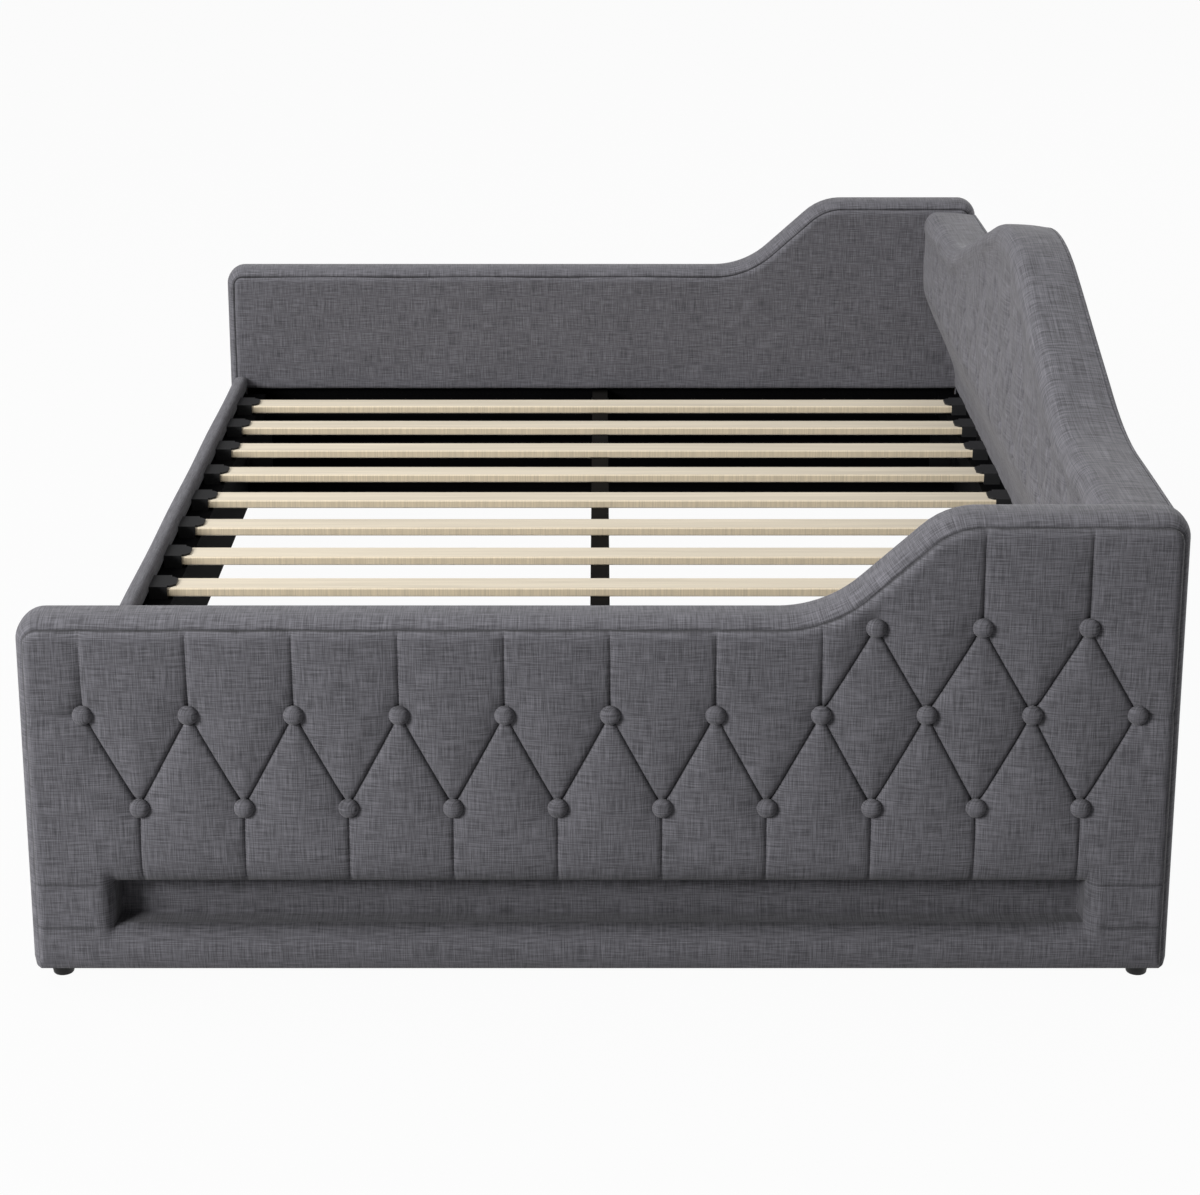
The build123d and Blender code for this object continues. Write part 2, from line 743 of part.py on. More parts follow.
def joined(shape):
    """One shape for a node, from one solid or a list of them."""
    return Compound(children=list(shape)) if isinstance(shape, list) else shape


def mirrored(shape):
    """The same piece on the left arm."""
    solids = shape if isinstance(shape, list) else [shape]
    return [mirror(solid, about=Plane.YZ) for solid in solids]


def daybed():
    """Every node of the daybed by name."""
    nodes = {**back_nodes(), **front_nodes(), **deck_nodes(), **floor_nodes()}
    for name, shape in arm_nodes().items():
        nodes["right_" + name] = shape
        nodes["left_" + name] = mirrored(shape)
    return nodes


os.makedirs("parts", exist_ok=True)
for node_name, node_shape in daybed().items():
    export_step(joined(node_shape), f"parts/{node_name}.step")
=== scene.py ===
"""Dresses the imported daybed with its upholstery, timber and fittings, and sets up the studio round it.

Metres, in the frame's own axes: X along the bed, Y from front to back, Z up. An arm's pieces are made for the
right arm and mirrored to the left one.
"""

import math

import bpy
import numpy as np
from bpy.props import FloatProperty, IntProperty, PointerProperty, StringProperty
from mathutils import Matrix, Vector


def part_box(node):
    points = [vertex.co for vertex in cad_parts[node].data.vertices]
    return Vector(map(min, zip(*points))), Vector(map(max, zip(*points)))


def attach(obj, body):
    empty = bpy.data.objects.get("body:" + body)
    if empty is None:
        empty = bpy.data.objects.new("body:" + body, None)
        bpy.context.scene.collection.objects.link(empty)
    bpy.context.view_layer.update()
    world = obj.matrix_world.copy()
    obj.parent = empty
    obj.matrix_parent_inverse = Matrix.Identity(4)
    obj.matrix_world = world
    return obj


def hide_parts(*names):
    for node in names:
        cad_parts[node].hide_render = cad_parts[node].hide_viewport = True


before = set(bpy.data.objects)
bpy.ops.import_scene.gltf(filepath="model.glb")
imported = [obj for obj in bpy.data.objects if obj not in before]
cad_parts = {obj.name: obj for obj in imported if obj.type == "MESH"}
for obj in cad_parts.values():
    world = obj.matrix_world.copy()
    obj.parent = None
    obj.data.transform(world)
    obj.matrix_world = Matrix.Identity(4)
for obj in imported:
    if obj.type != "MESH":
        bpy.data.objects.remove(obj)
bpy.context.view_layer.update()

bl_info = {
    "name": "Tufted Daybed",
    "version": (1, 0, 0),
    "blender": (4, 5, 0),
    "location": "View3D > Sidebar > Daybed",
    "description": "Dresses the frame of a daybed with its upholstery, timber and fittings",
    "category": "Add Mesh",
}

TUFTED_LOW, TUFTED_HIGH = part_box("right_arm_tufted_pad")
BASE_LOW, BASE_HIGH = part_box("right_arm_base_roll")
PANEL_LOW, PANEL_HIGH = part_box("right_arm_recess_panel")
INNER_LOW, INNER_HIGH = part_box("right_arm_inner_pad")
BAND_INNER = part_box("right_arm_border_band")[0].x
BACK_LOW, BACK_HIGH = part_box("back_pad")
BOARD_LOW, BOARD_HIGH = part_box("back_board")
COVER_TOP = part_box("back_rear_cover")[1].z
ARM_EDGE = TUFTED_HIGH.y
PAD_DEPTH = TUFTED_HIGH.x - TUFTED_LOW.x
SIDES = (("right", 1), ("left", -1))
QUARTER = np.linspace(0, math.pi / 2, 13)  # angles of a rounded edge


def length(name, description, default):
    """A length that the sidebar shows in the scene's unit."""
    return FloatProperty(name=name, description=description, default=default, precision=4, unit="LENGTH")


def angle(name, description, degrees):
    """An angle that the sidebar shows in the scene's unit."""
    return FloatProperty(name=name, description=description, default=math.radians(degrees), subtype="ANGLE")


def shade(name, description, default):
    """A colour that the sidebar shows as an sRGB hex value."""
    return StringProperty(name=name, description=description, default=default)


class DaybedShape(bpy.types.PropertyGroup):
    """Sizes of the upholstery that the frame's boxes don't give."""

    low_seam: length("Low seam", "Height of the arm's seam on its low front stretch", 0.484)
    seam_corner: length("Seam corner", "Radius of the seam at the arm's two top corners", 0.020)
    curve_foot: length("Curve foot", "Place along the arm where its S-curve starts to rise", 0.225)
    foot_radius: length("Foot radius", "Radius of the S-curve's lower arc", 0.165)
    head_radius: length("Head radius", "Radius of the S-curve's upper arc", 0.090)
    curve_slope: angle("Curve slope", "Steepness of the S-curve between its arcs", 42)
    back_shoulder: length("Back shoulder", "Height of the backrest's low ends", 0.6137)
    crest_radius: length("Crest radius", "Radius of the camel-back's crest", 0.510)
    dip_radius: length("Dip radius", "Radius of the arcs at the foot of the camel-back", 0.710)
    back_slope: angle("Back slope", "Steepness of the camel-back between its arcs", 17.5)
    ridge_height: length("Ridge height", "Height of the back pad's thickest line", 0.460)
    ridge_front: length("Ridge front", "Place of that line from the middle of the bed", 0.629)
    back_lean: length("Back lean", "How far the pad leans back from its ridge to its crest", 0.016)
    back_brow: length("Back brow", "How far the back pad's top rolls down its front", 0.028)
    back_dome: length("Back dome", "How far that roll reaches back over the top", 0.024)
    hem_height: length("Hem height", "Height of the top of the back pad's thin hem", 0.296)


class DaybedTufting(bpy.types.PropertyGroup):
    """Deep buttoning of the arms and the backrest."""

    pitch: length("Button pitch", "Distance between the buttons of a row", 0.1325)
    arm_first: length("First button", "Place of the first button of the arm's middle row", -0.650)
    arm_low: length("Arm low row", "Height of the arm's lowest row", 0.246)
    arm_middle: length("Arm middle row", "Height of the arm's middle row", 0.372)
    arm_high: length("Arm high row", "Height of the row on the arm's tall stretch", 0.488)
    back_low: length("Back low row", "Height of the backrest's lowest row", 0.468)
    back_middle: length("Back middle row", "Height of the backrest's middle row", 0.565)
    back_high: length("Back high row", "Height of the row under the crest", 0.662)
    crease_depth: length("Crease depth", "Depth of the sharp line of a pleat", 0.0045)
    crease_width: length("Crease width", "Width over which that line rises", 0.0014)
    gather: length("Gather", "How strongly the mesh is drawn in beside a pleat", 0.0030)
    pleat_depth: length("Pleat depth", "Depth of the soft valley round a pleat", 0.0080)
    pleat_width: length("Pleat width", "Width over which that valley rises", 0.026)
    dimple_depth: length("Dimple depth", "Extra depth under a button", 0.0030)
    back_crease: length("Back crease", "Depth of a pleat's sharp line on the backrest", 0.0008)
    back_pleat: length("Back pleat", "Depth of the soft valley round a pleat of the backrest", 0.0060)
    back_dimple: length("Back dimple", "Extra depth under a button of the backrest", 0.0045)
    back_sink: length("Back sink", "How much deeper the buttons of the backrest lie", 0.0070)
    dimple_width: length("Dimple width", "Width of the pull round a button", 0.020)
    button_radius: length("Button radius", "Radius of a covered button", 0.0128)
    button_height: length("Button height", "Height of a covered button's dome", 0.0095)
    steps: IntProperty(name="Steps", description="Mesh steps across half a pitch", default=16)


class DaybedFinish(bpy.types.PropertyGroup):
    """Colours, and the real sizes that patterns are drawn to."""

    fabric: shade("Fabric", "Upholstery, the mean of its threads", "#605F64")
    slat: shade("Slat", "Lacquered poplar, on the slats' tops", "#DDD2BE")
    edge: shade("Slat edge", "Lacquered poplar, on the slats' sawn edges", "#D2C3A8")
    plastic: shade("Holder", "Moulded slat holders", "#242425")
    paint: shade("Painted timber", "Black rails, ledgers and cleats", "#070708")
    beam: shade("Beam", "Black-stained centre beam", "#161514")
    steel: shade("Steel", "Powder-coated legs, saddles and brackets", "#080809")
    foot: shade("Foot", "Moulded feet and glides", "#0E0E0F")
    cloth: shade("Dust cover", "Non-woven cloth inside the arms", "#060607")
    board: shade("Board", "Bare plywood inside the pads", "#B99D75")
    floor: shade("Floor", "Studio floor", "#949494")
    thread: length("Thread", "Spacing of the fabric's threads as drawn", 0.0014)
    slub: length("Slub", "Length of the thick places in a thread", 0.017)
    grain: length("Grain", "Width of the wood's grain lines", 0.0016)


def shape():
    return bpy.context.scene.daybed_shape


def tufting():
    return bpy.context.scene.daybed_tufting


def finish():
    return bpy.context.scene.daybed_finish


# Materials


def linear(code):
    """Linear red, green, blue and alpha of an sRGB hex value."""
    parts = [int(code[i : i + 2], 16) / 255 for i in (1, 3, 5)]
    return tuple(c / 12.92 if c <= 0.04045 else ((c + 0.055) / 1.055) ** 2.4 for c in parts) + (1.0,)


def tinted(code, factor):
    """A colour made lighter or darker by a factor."""
    return tuple(min(c * factor, 1.0) for c in linear(code)[:3]) + (1.0,)


def put(tree, kind, links=None, stops=None, **settings):
    """Adds a node. A link is a socket of another node or a plain value; stops fill a colour ramp."""
    node = tree.nodes.new(kind)
    for key, value in settings.items():
        setattr(node, key, value)
    for key, value in (links or {}).items():
        if isinstance(value, bpy.types.NodeSocket):
            tree.links.new(value, node.inputs[key])
        else:
            node.inputs[key].default_value = value
    for place, (position, colour) in enumerate(stops or ()):
        elements = node.color_ramp.elements
        element = elements[place] if place < 2 else elements.new(position)
        element.position = position
        element.color = colour
    return node


def material(name, build):
    """A material made once, from the function that fills its node tree."""
    found = bpy.data.materials.get(name)
    if found:
        return found
    made = bpy.data.materials.new(name)
    made.use_nodes = True
    made.node_tree.nodes.clear()
    shader = build(made.node_tree)
    put(made.node_tree, "ShaderNodeOutputMaterial", {"Surface": shader.outputs[0]})
    return made


def reckon(tree, operation, *values):
    """The result of a sum on sockets and plain values."""
    return put(tree, "ShaderNodeMath", dict(enumerate(values)), operation=operation).outputs[0]


def noise(tree, space, stretch, detail, roughness=0.5, **settings):
    """Noise with so many grains to a metre, alike on every axis or one count for each."""
    place = put(tree, "ShaderNodeTexCoord").outputs[space]
    counts = tuple(np.ones(3) * stretch)
    spread = put(tree, "ShaderNodeVectorMath", {0: place, 1: counts}, operation="MULTIPLY").outputs[0]
    links = {"Vector": spread, "Scale": 1.0, "Detail": detail, "Roughness": roughness}
    return put(tree, "ShaderNodeTexNoise", links, **settings).outputs[0]


def ramp(tree, value, code, *ends):
    """A colour from dark to light. Each end is a place on the ramp and a factor on the colour."""
    stops = [(place, tinted(code, factor)) for place, factor in ends]
    return put(tree, "ShaderNodeValToRGB", {"Fac": value}, stops=stops).outputs[0]


def surface(tree, colour, height, strength, depth, looks):
    """A principled shader whose fine relief follows a height."""
    bump = put(tree, "ShaderNodeBump", {"Height": height, "Strength": strength, "Distance": depth})
    links = {"Base Color": colour, "Normal": bump.outputs[0], **looks}
    return put(tree, "ShaderNodeBsdfPrincipled", links)


PAINTED_SHADE_STRENGTH = 0.78  # painted shade: how much darker the fabric is painted down in a seam, where hardly any light comes
YARNS = ((1.0, 0.40), (2.2, 0.10))  # thickness of a set of yarns, and its share in the weave
CLOUDS, CLOUD_SHARE = 9.0, 0.04  # uneven dye: patches to a metre, and their share


def woven_polyester(tree):
    """Polyester dyed in the yarn and woven plain to look like linen.

    Threads of uneven thickness cross each other, so the eye sees fine lighter and darker streaks both ways on
    a matt cloth with a faint nap. Real threads lie under 1 mm apart and are drawn coarser, so that they show.
    """
    look = finish()
    weave = 0.0
    for thickness, share in YARNS:
        along, across = 0.5 / (thickness * look.slub), 1 / (thickness * look.thread)
        for stretch in ((along, across, 1), (across, along, 1)):
            yarn = noise(tree, "UV", stretch, 2.0, 0.6, noise_dimensions="2D")
            weave = reckon(tree, "MULTIPLY_ADD", yarn, share, weave)
    cloudy = noise(tree, "UV", CLOUDS, 3.0, noise_dimensions="2D")
    tone = reckon(tree, "MULTIPLY_ADD", cloudy, CLOUD_SHARE, weave)
    colour = ramp(tree, tone, look.fabric, (0.393, 0.50), (0.697, 1.55))
    # Painted shade: the colour is darkened by the mesh's shade attribute, in seams, pleats and the recess
    painted_shade = put(tree, "ShaderNodeAttribute", attribute_name="painted_shade").outputs["Fac"]
    lit = reckon(tree, "MULTIPLY_ADD", painted_shade, -PAINTED_SHADE_STRENGTH, 1.0)
    colour = put(tree, "ShaderNodeVectorMath", {0: colour, "Scale": lit}, operation="SCALE").outputs[0]
    looks = {"Roughness": 0.92, "Specular IOR Level": 0.2, "Sheen Weight": 0.12, "Sheen Roughness": 0.5}
    return surface(tree, colour, weave, 0.6, 0.0012, looks)


def lacquered_poplar(tree):
    """Sawn poplar under a thin clear lacquer: pale cream with fine straight grain along the slat's top.

    The long edges, picked out by the way they face, are drawn in a darker colour, with the fine upright marks
    of a saw.
    """
    look = finish()
    fine = 1 / look.grain
    lines = noise(tree, "Object", (fine, 6.0, fine), 3.0)
    rings = noise(tree, "Object", (55.0, 1.6, 90.0), 3.0)
    marks = noise(tree, "Object", (9.0, fine, 14.0), 3.0)
    tone = reckon(tree, "MULTIPLY_ADD", rings, 0.9, lines)
    tone = put(tree, "ShaderNodeMapRange", {"Value": tone, "From Min": 0.55, "From Max": 1.35}).outputs[0]
    top = ramp(tree, tone, look.slat, (0.10, 0.80), (0.85, 1.08))
    edge = ramp(tree, marks, look.edge, (0.32, 0.85), (0.68, 1.11))
    facing = put(tree, "ShaderNodeNewGeometry").outputs["True Normal"]
    sawn = reckon(tree, "ABSOLUTE", put(tree, "ShaderNodeSeparateXYZ", {0: facing}).outputs[0])
    sawn = put(tree, "ShaderNodeMapRange", {"Value": sawn, "From Min": 0.5, "From Max": 0.8}).outputs[0]
    colour = put(tree, "ShaderNodeMix", {"Factor": sawn, "A": top, "B": edge}, data_type="RGBA")
    looks = {"Roughness": 0.48, "Coat Weight": 0.08}
    return surface(tree, colour.outputs["Result"], lines, 0.15, 0.0003, looks)


def grained(tree, code, noisy, ends, relief, roughness, shine):
    """A plain surface whose tone and fine relief both follow one noise."""
    grains = noise(tree, "Object", *noisy)
    looks = {"Roughness": roughness, "Specular IOR Level": shine}
    return surface(tree, ramp(tree, grains, code, *ends), grains, *relief, looks)


def moulded(tree, code, roughness, grit):
    """Moulded polypropylene: an even dark colour with the fine spark texture of its mould."""
    return grained(tree, code, (1 / grit, 2.0), ((0.3, 0.88), (0.7, 1.14)), (0.2, 0.0004), roughness, 0.25)


def holder_polypropylene(tree):
    """Injection-moulded polypropylene, dark grey and softly shining."""
    return moulded(tree, finish().plastic, 0.5, 0.0015)


def foot_polypropylene(tree):
    """Injection-moulded polypropylene, black and matt."""
    return moulded(tree, finish().foot, 0.6, 0.002)


def coated_softwood(tree, code):
    """Softwood under a thin dark coat: the grain still shows as faint lines along the timber."""
    lines = ((9.0, 9.0, 420.0), 3.0)
    return grained(tree, code, lines, ((0.3, 0.75), (0.75, 1.35)), (0.25, 0.0005), 0.8, 0.02)


def painted_softwood(tree):
    """Sawn softwood under one coat of black paint, dull and nearly black."""
    return coated_softwood(tree, finish().paint)


def stained_softwood(tree):
    """Planed softwood under black stain, which lets a little of the wood's warmth through."""
    return coated_softwood(tree, finish().beam)


def powder_coated_steel(tree):
    """Steel under black powder coat: a slight orange-peel surface with a soft shine."""
    peel = (1 / 0.0025, 1.0)
    return grained(tree, finish().steel, peel, ((0.35, 0.85), (0.7, 1.2)), (0.12, 0.0004), 0.55, 0.12)


def nonwoven_polypropylene(tree):
    """Spun-bonded polypropylene dust cloth: black, matt, with the small bonded dots of its roller."""
    uv = put(tree, "ShaderNodeTexCoord").outputs["UV"]
    dots = put(tree, "ShaderNodeTexVoronoi", {"Vector": uv, "Scale": 1 / 0.004}, voronoi_dimensions="2D")
    dots = dots.outputs["Distance"]
    colour = ramp(tree, dots, finish().cloth, (0.15, 0.6), (0.6, 1.3))
    return surface(tree, colour, dots, 0.3, 0.0005, {"Roughness": 0.95, "Specular IOR Level": 0.05})


def bare_plywood(tree):
    """Unfinished plywood, which the pads hide: rotary-cut veneer with broad wavy figure."""
    figure = noise(tree, "Object", (30.0, 4.0, 30.0), 4.0)
    colour = ramp(tree, figure, finish().board, (0.3, 0.75), (0.7, 1.15))
    return put(tree, "ShaderNodeBsdfPrincipled", {"Base Color": colour, "Roughness": 0.75})


# Meshes


def spaced(*stretches):
    """Rising values through stretches given as (start, end, steps)."""
    runs = [np.linspace(start, end, steps + 1)[:-1] for start, end, steps in stretches]
    return np.concatenate(runs + [[stretches[-1][1]]])


def edged(low, high, margin, fine, steps):
    """Rising values that lie closer together along both edges."""
    first, last = low + margin, high - margin
    return spaced((low, first, fine), (first, last, steps), (last, high, fine))


def step_between(low, high, value):
    """A smooth step from 0 at low to 1 at high."""
    t = np.clip((value - low) / (high - low), 0, 1)
    return t * t * (3 - 2 * t)


def hump(distance, width):
    """1 at no distance, falling smoothly to 0 past a width."""
    return np.exp(-((distance / width) ** 2))


def rolled(distance, depth, width):
    """How far a padded edge has fallen back, at a distance from its seam.

    A constant whose name ends in ROLL holds such an edge's depth and width.
    """
    t = 1 - np.clip(distance / width, 0, 1)
    return depth * (1 - np.sqrt(1 - t * t))


def grid(*values):
    """Points or weave places from coordinates, some of which are given once for a whole row or column."""
    return np.stack(np.broadcast_arrays(*values), -1)


def run_along(points):
    """Distance along a row of points, from its first."""
    return np.concatenate([[0], np.cumsum(np.linalg.norm(np.diff(points, axis=0), axis=1))])


def stacked(across, levels, counts, powers=None):
    """Places across and heights of a grid with rows between levels, which may vary along the columns."""
    levels = [np.broadcast_to(level, across.shape)[:, None] for level in levels]
    rows = []
    for low, high, count, power in zip(levels, levels[1:], counts, powers or (1,) * len(counts)):
        t = 1 - (1 - np.linspace(0, 1, count + 1)[:-1]) ** power
        rows.append(low + (high - low) * t)
    heights = np.concatenate(rows + [levels[-1]], axis=1)
    return np.repeat(across[:, None], heights.shape[1], axis=1), heights


def of_faces(mesh, key, width):
    """One measure of all the faces of a mesh."""
    values = np.empty(len(mesh.polygons) * width)
    mesh.polygons.foreach_get(key, values)
    return values.reshape(-1, width)


def loft(name, rings, uv, dressing, closed=True, splits=None):
    """An object skinned over rows of points. A closed one joins each row's ends and gets two end caps.

    uv holds the place in the weave and, where it has a third value, the painted shade at the point: how much
    darker the fabric is painted there, down in a seam or a pleat.
    splits holds 1 or 2 where a quad is parted along its rising or falling diagonal, so that a pleat runs
    along edges.
    """
    columns, rows = rings.shape[:2]
    index = np.arange(columns * rows).reshape(columns, rows)
    onward = np.roll(index, -1, axis=1) if closed else index[:, 1:]
    first = index if closed else index[:, :-1]
    a, b, c, d = first[:-1], first[1:], onward[1:], onward[:-1]
    kind = np.zeros(a.shape, int) if splits is None else splits
    faces = np.stack([a, b, c, d], -1)[kind == 0].tolist()
    for way, halves in ((1, ((a, b, c), (a, c, d))), (2, ((a, b, d), (b, c, d)))):
        for half in halves:
            faces += np.stack(half, -1)[kind == way].tolist()
    skinned = len(faces)
    if closed:
        faces += [index[0].tolist(), index[-1][::-1].tolist()]
    mesh = bpy.data.meshes.new(name)
    mesh.from_pydata(rings.reshape(-1, 3).tolist(), [], faces)
    corners = np.empty(len(mesh.loops), int)
    mesh.loops.foreach_get("vertex_index", corners)
    uv = uv.reshape(-1, uv.shape[-1]).astype(np.float32)
    mesh.uv_layers.new(name="weave").data.foreach_set("uv", uv[corners, :2].ravel())
    # The painted shade goes on as a point attribute, which the fabric's material reads
    if uv.shape[1] == 3:
        mesh.attributes.new("painted_shade", "FLOAT", "POINT").data.foreach_set("value", uv[:, 2].copy())
    mesh.polygons.foreach_set("use_smooth", np.arange(len(faces)) < skinned)
    mesh.set_sharp_from_angle(angle=math.radians(55))
    if closed:
        outward = (of_faces(mesh, "center", 3) * of_faces(mesh, "normal", 3)).sum(1)
        if outward @ of_faces(mesh, "area", 1) < 0:
            mesh.flip_normals()
    mesh.update()
    piece = bpy.data.objects.new(name, mesh)
    bpy.context.scene.collection.objects.link(piece)
    mesh.materials.append(material(dressing.__name__, dressing))
    return piece


def settle(piece, nodes):
    """Lets a piece ride on the bed and stand for any CAD nodes."""
    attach(piece, "root")
    if nodes:
        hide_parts(*nodes)


def settle_arms(word, rings, uv, nodes, fill, splits=None):
    """A padded piece of the right arm and its mirror image, each standing for its own arm's CAD nodes."""
    for name, side in SIDES:
        piece = loft(f"{name}_arm_{word}", rings * (side, 1, 1), uv, woven_polyester, splits=splits)
        settle(piece, [f"{name}_arm_{node}" for node in nodes])


def s_curve(run, low, high, foot_radius, head_radius, slope, from_head=False):
    """Height along an arc up from a foot, a straight slope and an arc into a head.

    run counts from the foot, or back from the head.
    """
    sine, cosine = math.sin(slope), math.cos(slope)
    straight = (high - low - (foot_radius + head_radius) * (1 - cosine)) / sine
    first = foot_radius * sine
    second = first + straight * cosine
    third = second + head_radius * sine
    if from_head:
        run = third - run
    foot = low + foot_radius - np.sqrt(np.clip(foot_radius**2 - run**2, 0, None))
    middle = low + foot_radius * (1 - cosine) + (run - first) * sine / cosine
    head = high - head_radius + np.sqrt(np.clip(head_radius**2 - (third - run) ** 2, 0, None))
    return np.select([run < 0, run < first, run < second, run < third], [low, foot, middle, head], high)


# Outline of an arm

SEAM_ROLL = 0.011, 0.013
SEAM_SLOT, SEAM_TUCK = 0.0025, 0.014  # gap beside the band, and how far an edge is drawn in behind it
LIP_SIDE, LIP_ABOVE, LIP_BELOW = 0.022, 0.046, 0.032  # width of the roll round the recess
CROSS_SEAM, CROSS_SEAM_WIDTH = 0.0022, 0.0020
CROSS_SEAM_START, CROSS_SEAM_FULL = 0.010, 0.024  # distances from the recess
UNDER_ROLL = 0.014, 0.036  # the arm's lower edge
THINNEST = 0.0005  # what is left of a pad where it is pulled in most
TUCKED_THICKNESS = 0.002  # what is left of it behind a seam
SEAM_SHADE, PAINTED_PLEAT_SHADE, PAINTED_CROSS_SEAM_SHADE = 0.0012, 0.15, 0.5  # width of a seam's painted dark line, and strength of the painted shade in the pleats and the cross seams
# painted shade round the recess: its strength and the width over which it fades
LIP_SHADE, LIP_SHADE_WIDTH = 0.75, 0.010
LIP_SHADE_END, LIP_SHADE_RUN = 0.4, 0.08  # share at the recess's two ends, and the way to full strength


def flat_seam(y):
    """Height of an arm's top seam along the bed's depth, as if its corners were square."""
    form = shape()
    radii = form.foot_radius, form.head_radius
    return s_curve(y - form.curve_foot, form.low_seam, TUFTED_HIGH.z, *radii, form.curve_slope)


def seam(y):
    """Height of an arm's top seam, with its rounded corners."""
    corner = shape().seam_corner
    past = np.clip(np.abs(y) - (ARM_EDGE - corner), 0, corner)
    return flat_seam(y) - corner + np.sqrt(corner**2 - past**2)


def seam_distance(y, z):
    """Distance inwards from an arm's seam, along its front, top and back."""
    corner, step = shape().seam_corner, 0.001
    slant = (flat_seam(y + step) - flat_seam(y - step)) / (2 * step)
    top = (flat_seam(y) - z) / np.sqrt(1 + slant**2)
    side = ARM_EDGE - np.abs(y)
    inside = corner - np.hypot(corner - top, corner - side)
    return np.where((top < corner) & (side < corner), inside, np.minimum(top, side))


def off_recess(y, z, side=1.0, above=1.0, below=1.0):
    """Distance outwards from the edge of an arm's recess, in units that may differ from side to side."""
    aside = np.clip(np.abs(y) - PANEL_HIGH.y, 0, None) / side
    upward = np.clip(z - PANEL_HIGH.z, 0, None) / above
    downward = np.clip(PANEL_LOW.z - z, 0, None) / below
    return np.hypot(aside, upward + downward)


def cross_seams(y, z):
    """How near a place is to the short seams that run from an arm's recess to its two ends, from 0 to 1."""
    beside = step_between(CROSS_SEAM_START, CROSS_SEAM_FULL, np.abs(y) - PANEL_HIGH.y)
    nearest = np.minimum(np.abs(z - PANEL_LOW.z), np.abs(z - PANEL_HIGH.z))
    return beside * np.exp(-nearest / CROSS_SEAM_WIDTH)


def arm_face(y, z, relief=0.0):
    """Places on the outer face of the right arm, fallen back at its seams, its recess and its lower edge."""
    falls = (
        rolled(seam_distance(y, z), *SEAM_ROLL),
        rolled(off_recess(y, z, LIP_SIDE, LIP_ABOVE, LIP_BELOW), PAD_DEPTH, 1.0),
        rolled(z - BASE_LOW.z, *UNDER_ROLL),
    )
    fall = np.maximum.reduce(falls) + CROSS_SEAM * cross_seams(y, z)
    return grid(TUFTED_HIGH.x - np.minimum(fall + relief, PAD_DEPTH - THINNEST), y, z)


def arm_painted_shade(y, z):
    """Painted shade on an arm's outer face, from 0 to 1: a dark line in each seam and a shade round the
    recess.
    """
    inward = step_between(0, LIP_SHADE_RUN, PANEL_HIGH.y - np.abs(y))
    lip = LIP_SHADE * (LIP_SHADE_END + (1 - LIP_SHADE_END) * inward)
    lines = (
        hump(seam_distance(y, z), SEAM_SHADE),
        PAINTED_CROSS_SEAM_SHADE * cross_seams(y, z),
        lip * np.exp(-off_recess(y, z) / LIP_SHADE_WIDTH),
    )
    return np.maximum.reduce(lines)


def padded_ring(front, axis, plane):
    """Columns of a front surface, each closed by its two ends set back on a plane."""
    ends = front[:, [-1, 0]].copy()
    ends[..., axis] = plane
    return np.concatenate([front, ends], axis=1)


def ring_uv(uv):
    """Weave coordinates for columns closed by padded_ring."""
    return np.concatenate([uv, uv[:, [-1, 0]]], axis=1)


def tucked_ends(columns, ends, points=True):
    """Columns of an arm's face with its ends drawn in behind the seams, or its weave carried on there."""
    for end in ends:
        extra = columns[end].copy()
        if points:
            extra[:-2, 0] = TUFTED_LOW.x + TUCKED_THICKNESS
            extra[:, 1] -= np.sign(extra[:, 1]) * SEAM_TUCK
        columns = np.concatenate([extra[None], columns] if end == 0 else [columns, extra[None]])
    return columns


def arm_pad(y, z, ends=(0, -1), relief=0.0, crease=0.0):
    """Rings and weave of a pad on the right arm's outer face."""
    rings = padded_ring(arm_face(y, z, relief), 0, TUFTED_LOW.x)
    # The weave's third value is the painted shade of the seams, the recess and the pleats
    uv = ring_uv(grid(y, z, np.maximum(arm_painted_shade(y, z), PAINTED_PLEAT_SHADE * crease)))
    return tucked_ends(rings, ends), tucked_ends(uv, ends, points=False)


# Deep buttoning

BUTTON_MARGIN = 0.04  # least distance from an arm's back seam to a button
HIGH_ROW_MARGIN = 0.11  # from the foot of the arm's S-curve to its high row
BACK_MARGINS = 0.19  # what the backrest's lowest row leaves free at its two ends together
CREST_REACH = 0.23  # how far the row under the crest reaches from the middle
PLEAT_ENDS, SIDE_PLEAT_ENDS = (0.8, 0.38), (0.8, 0.4)  # strength of an arm's pleats at button and seam
BACK_UP_ENDS, BACK_DOWN_ENDS = (0.9, 0.2), (0.9, 0.15)  # the same on the backrest
SHORT_PLEAT = 0.018  # length of the pleat above the first button of the arm's high row
BROW_GAP = 0.012  # what the backrest's pleats leave free under its top
PLAIN_MARGIN = 0.024  # how far under the low seam the mesh row of the high buttons carries on
GATHER_REACH = 0.010
BUTTON_FOLDS, BUTTON_FOLD = 9, 0.0009  # small folds that run out from a button
BUTTON_FOLD_START, BUTTON_FOLD_REACH = 0.012, 0.030
COLUMN_EDGE = 0.018  # width of the closer columns at a tufted face's ends


def button_row(first, count):
    """Places of so many buttons, one pitch apart."""
    return first + tufting().pitch * np.arange(count)


def arm_buttons():
    """The three rows of an arm as arrays of (y, z), lowest first."""
    tuft = tufting()
    count = int((TUFTED_HIGH.y - BUTTON_MARGIN - tuft.arm_first) // tuft.pitch) + 1
    middle = button_row(tuft.arm_first, count)
    low = button_row(tuft.arm_first + tuft.pitch / 2, count - 1)
    high = low[low > shape().curve_foot + HIGH_ROW_MARGIN]
    return [grid(low, tuft.arm_low), grid(middle, tuft.arm_middle), grid(high, tuft.arm_high)]


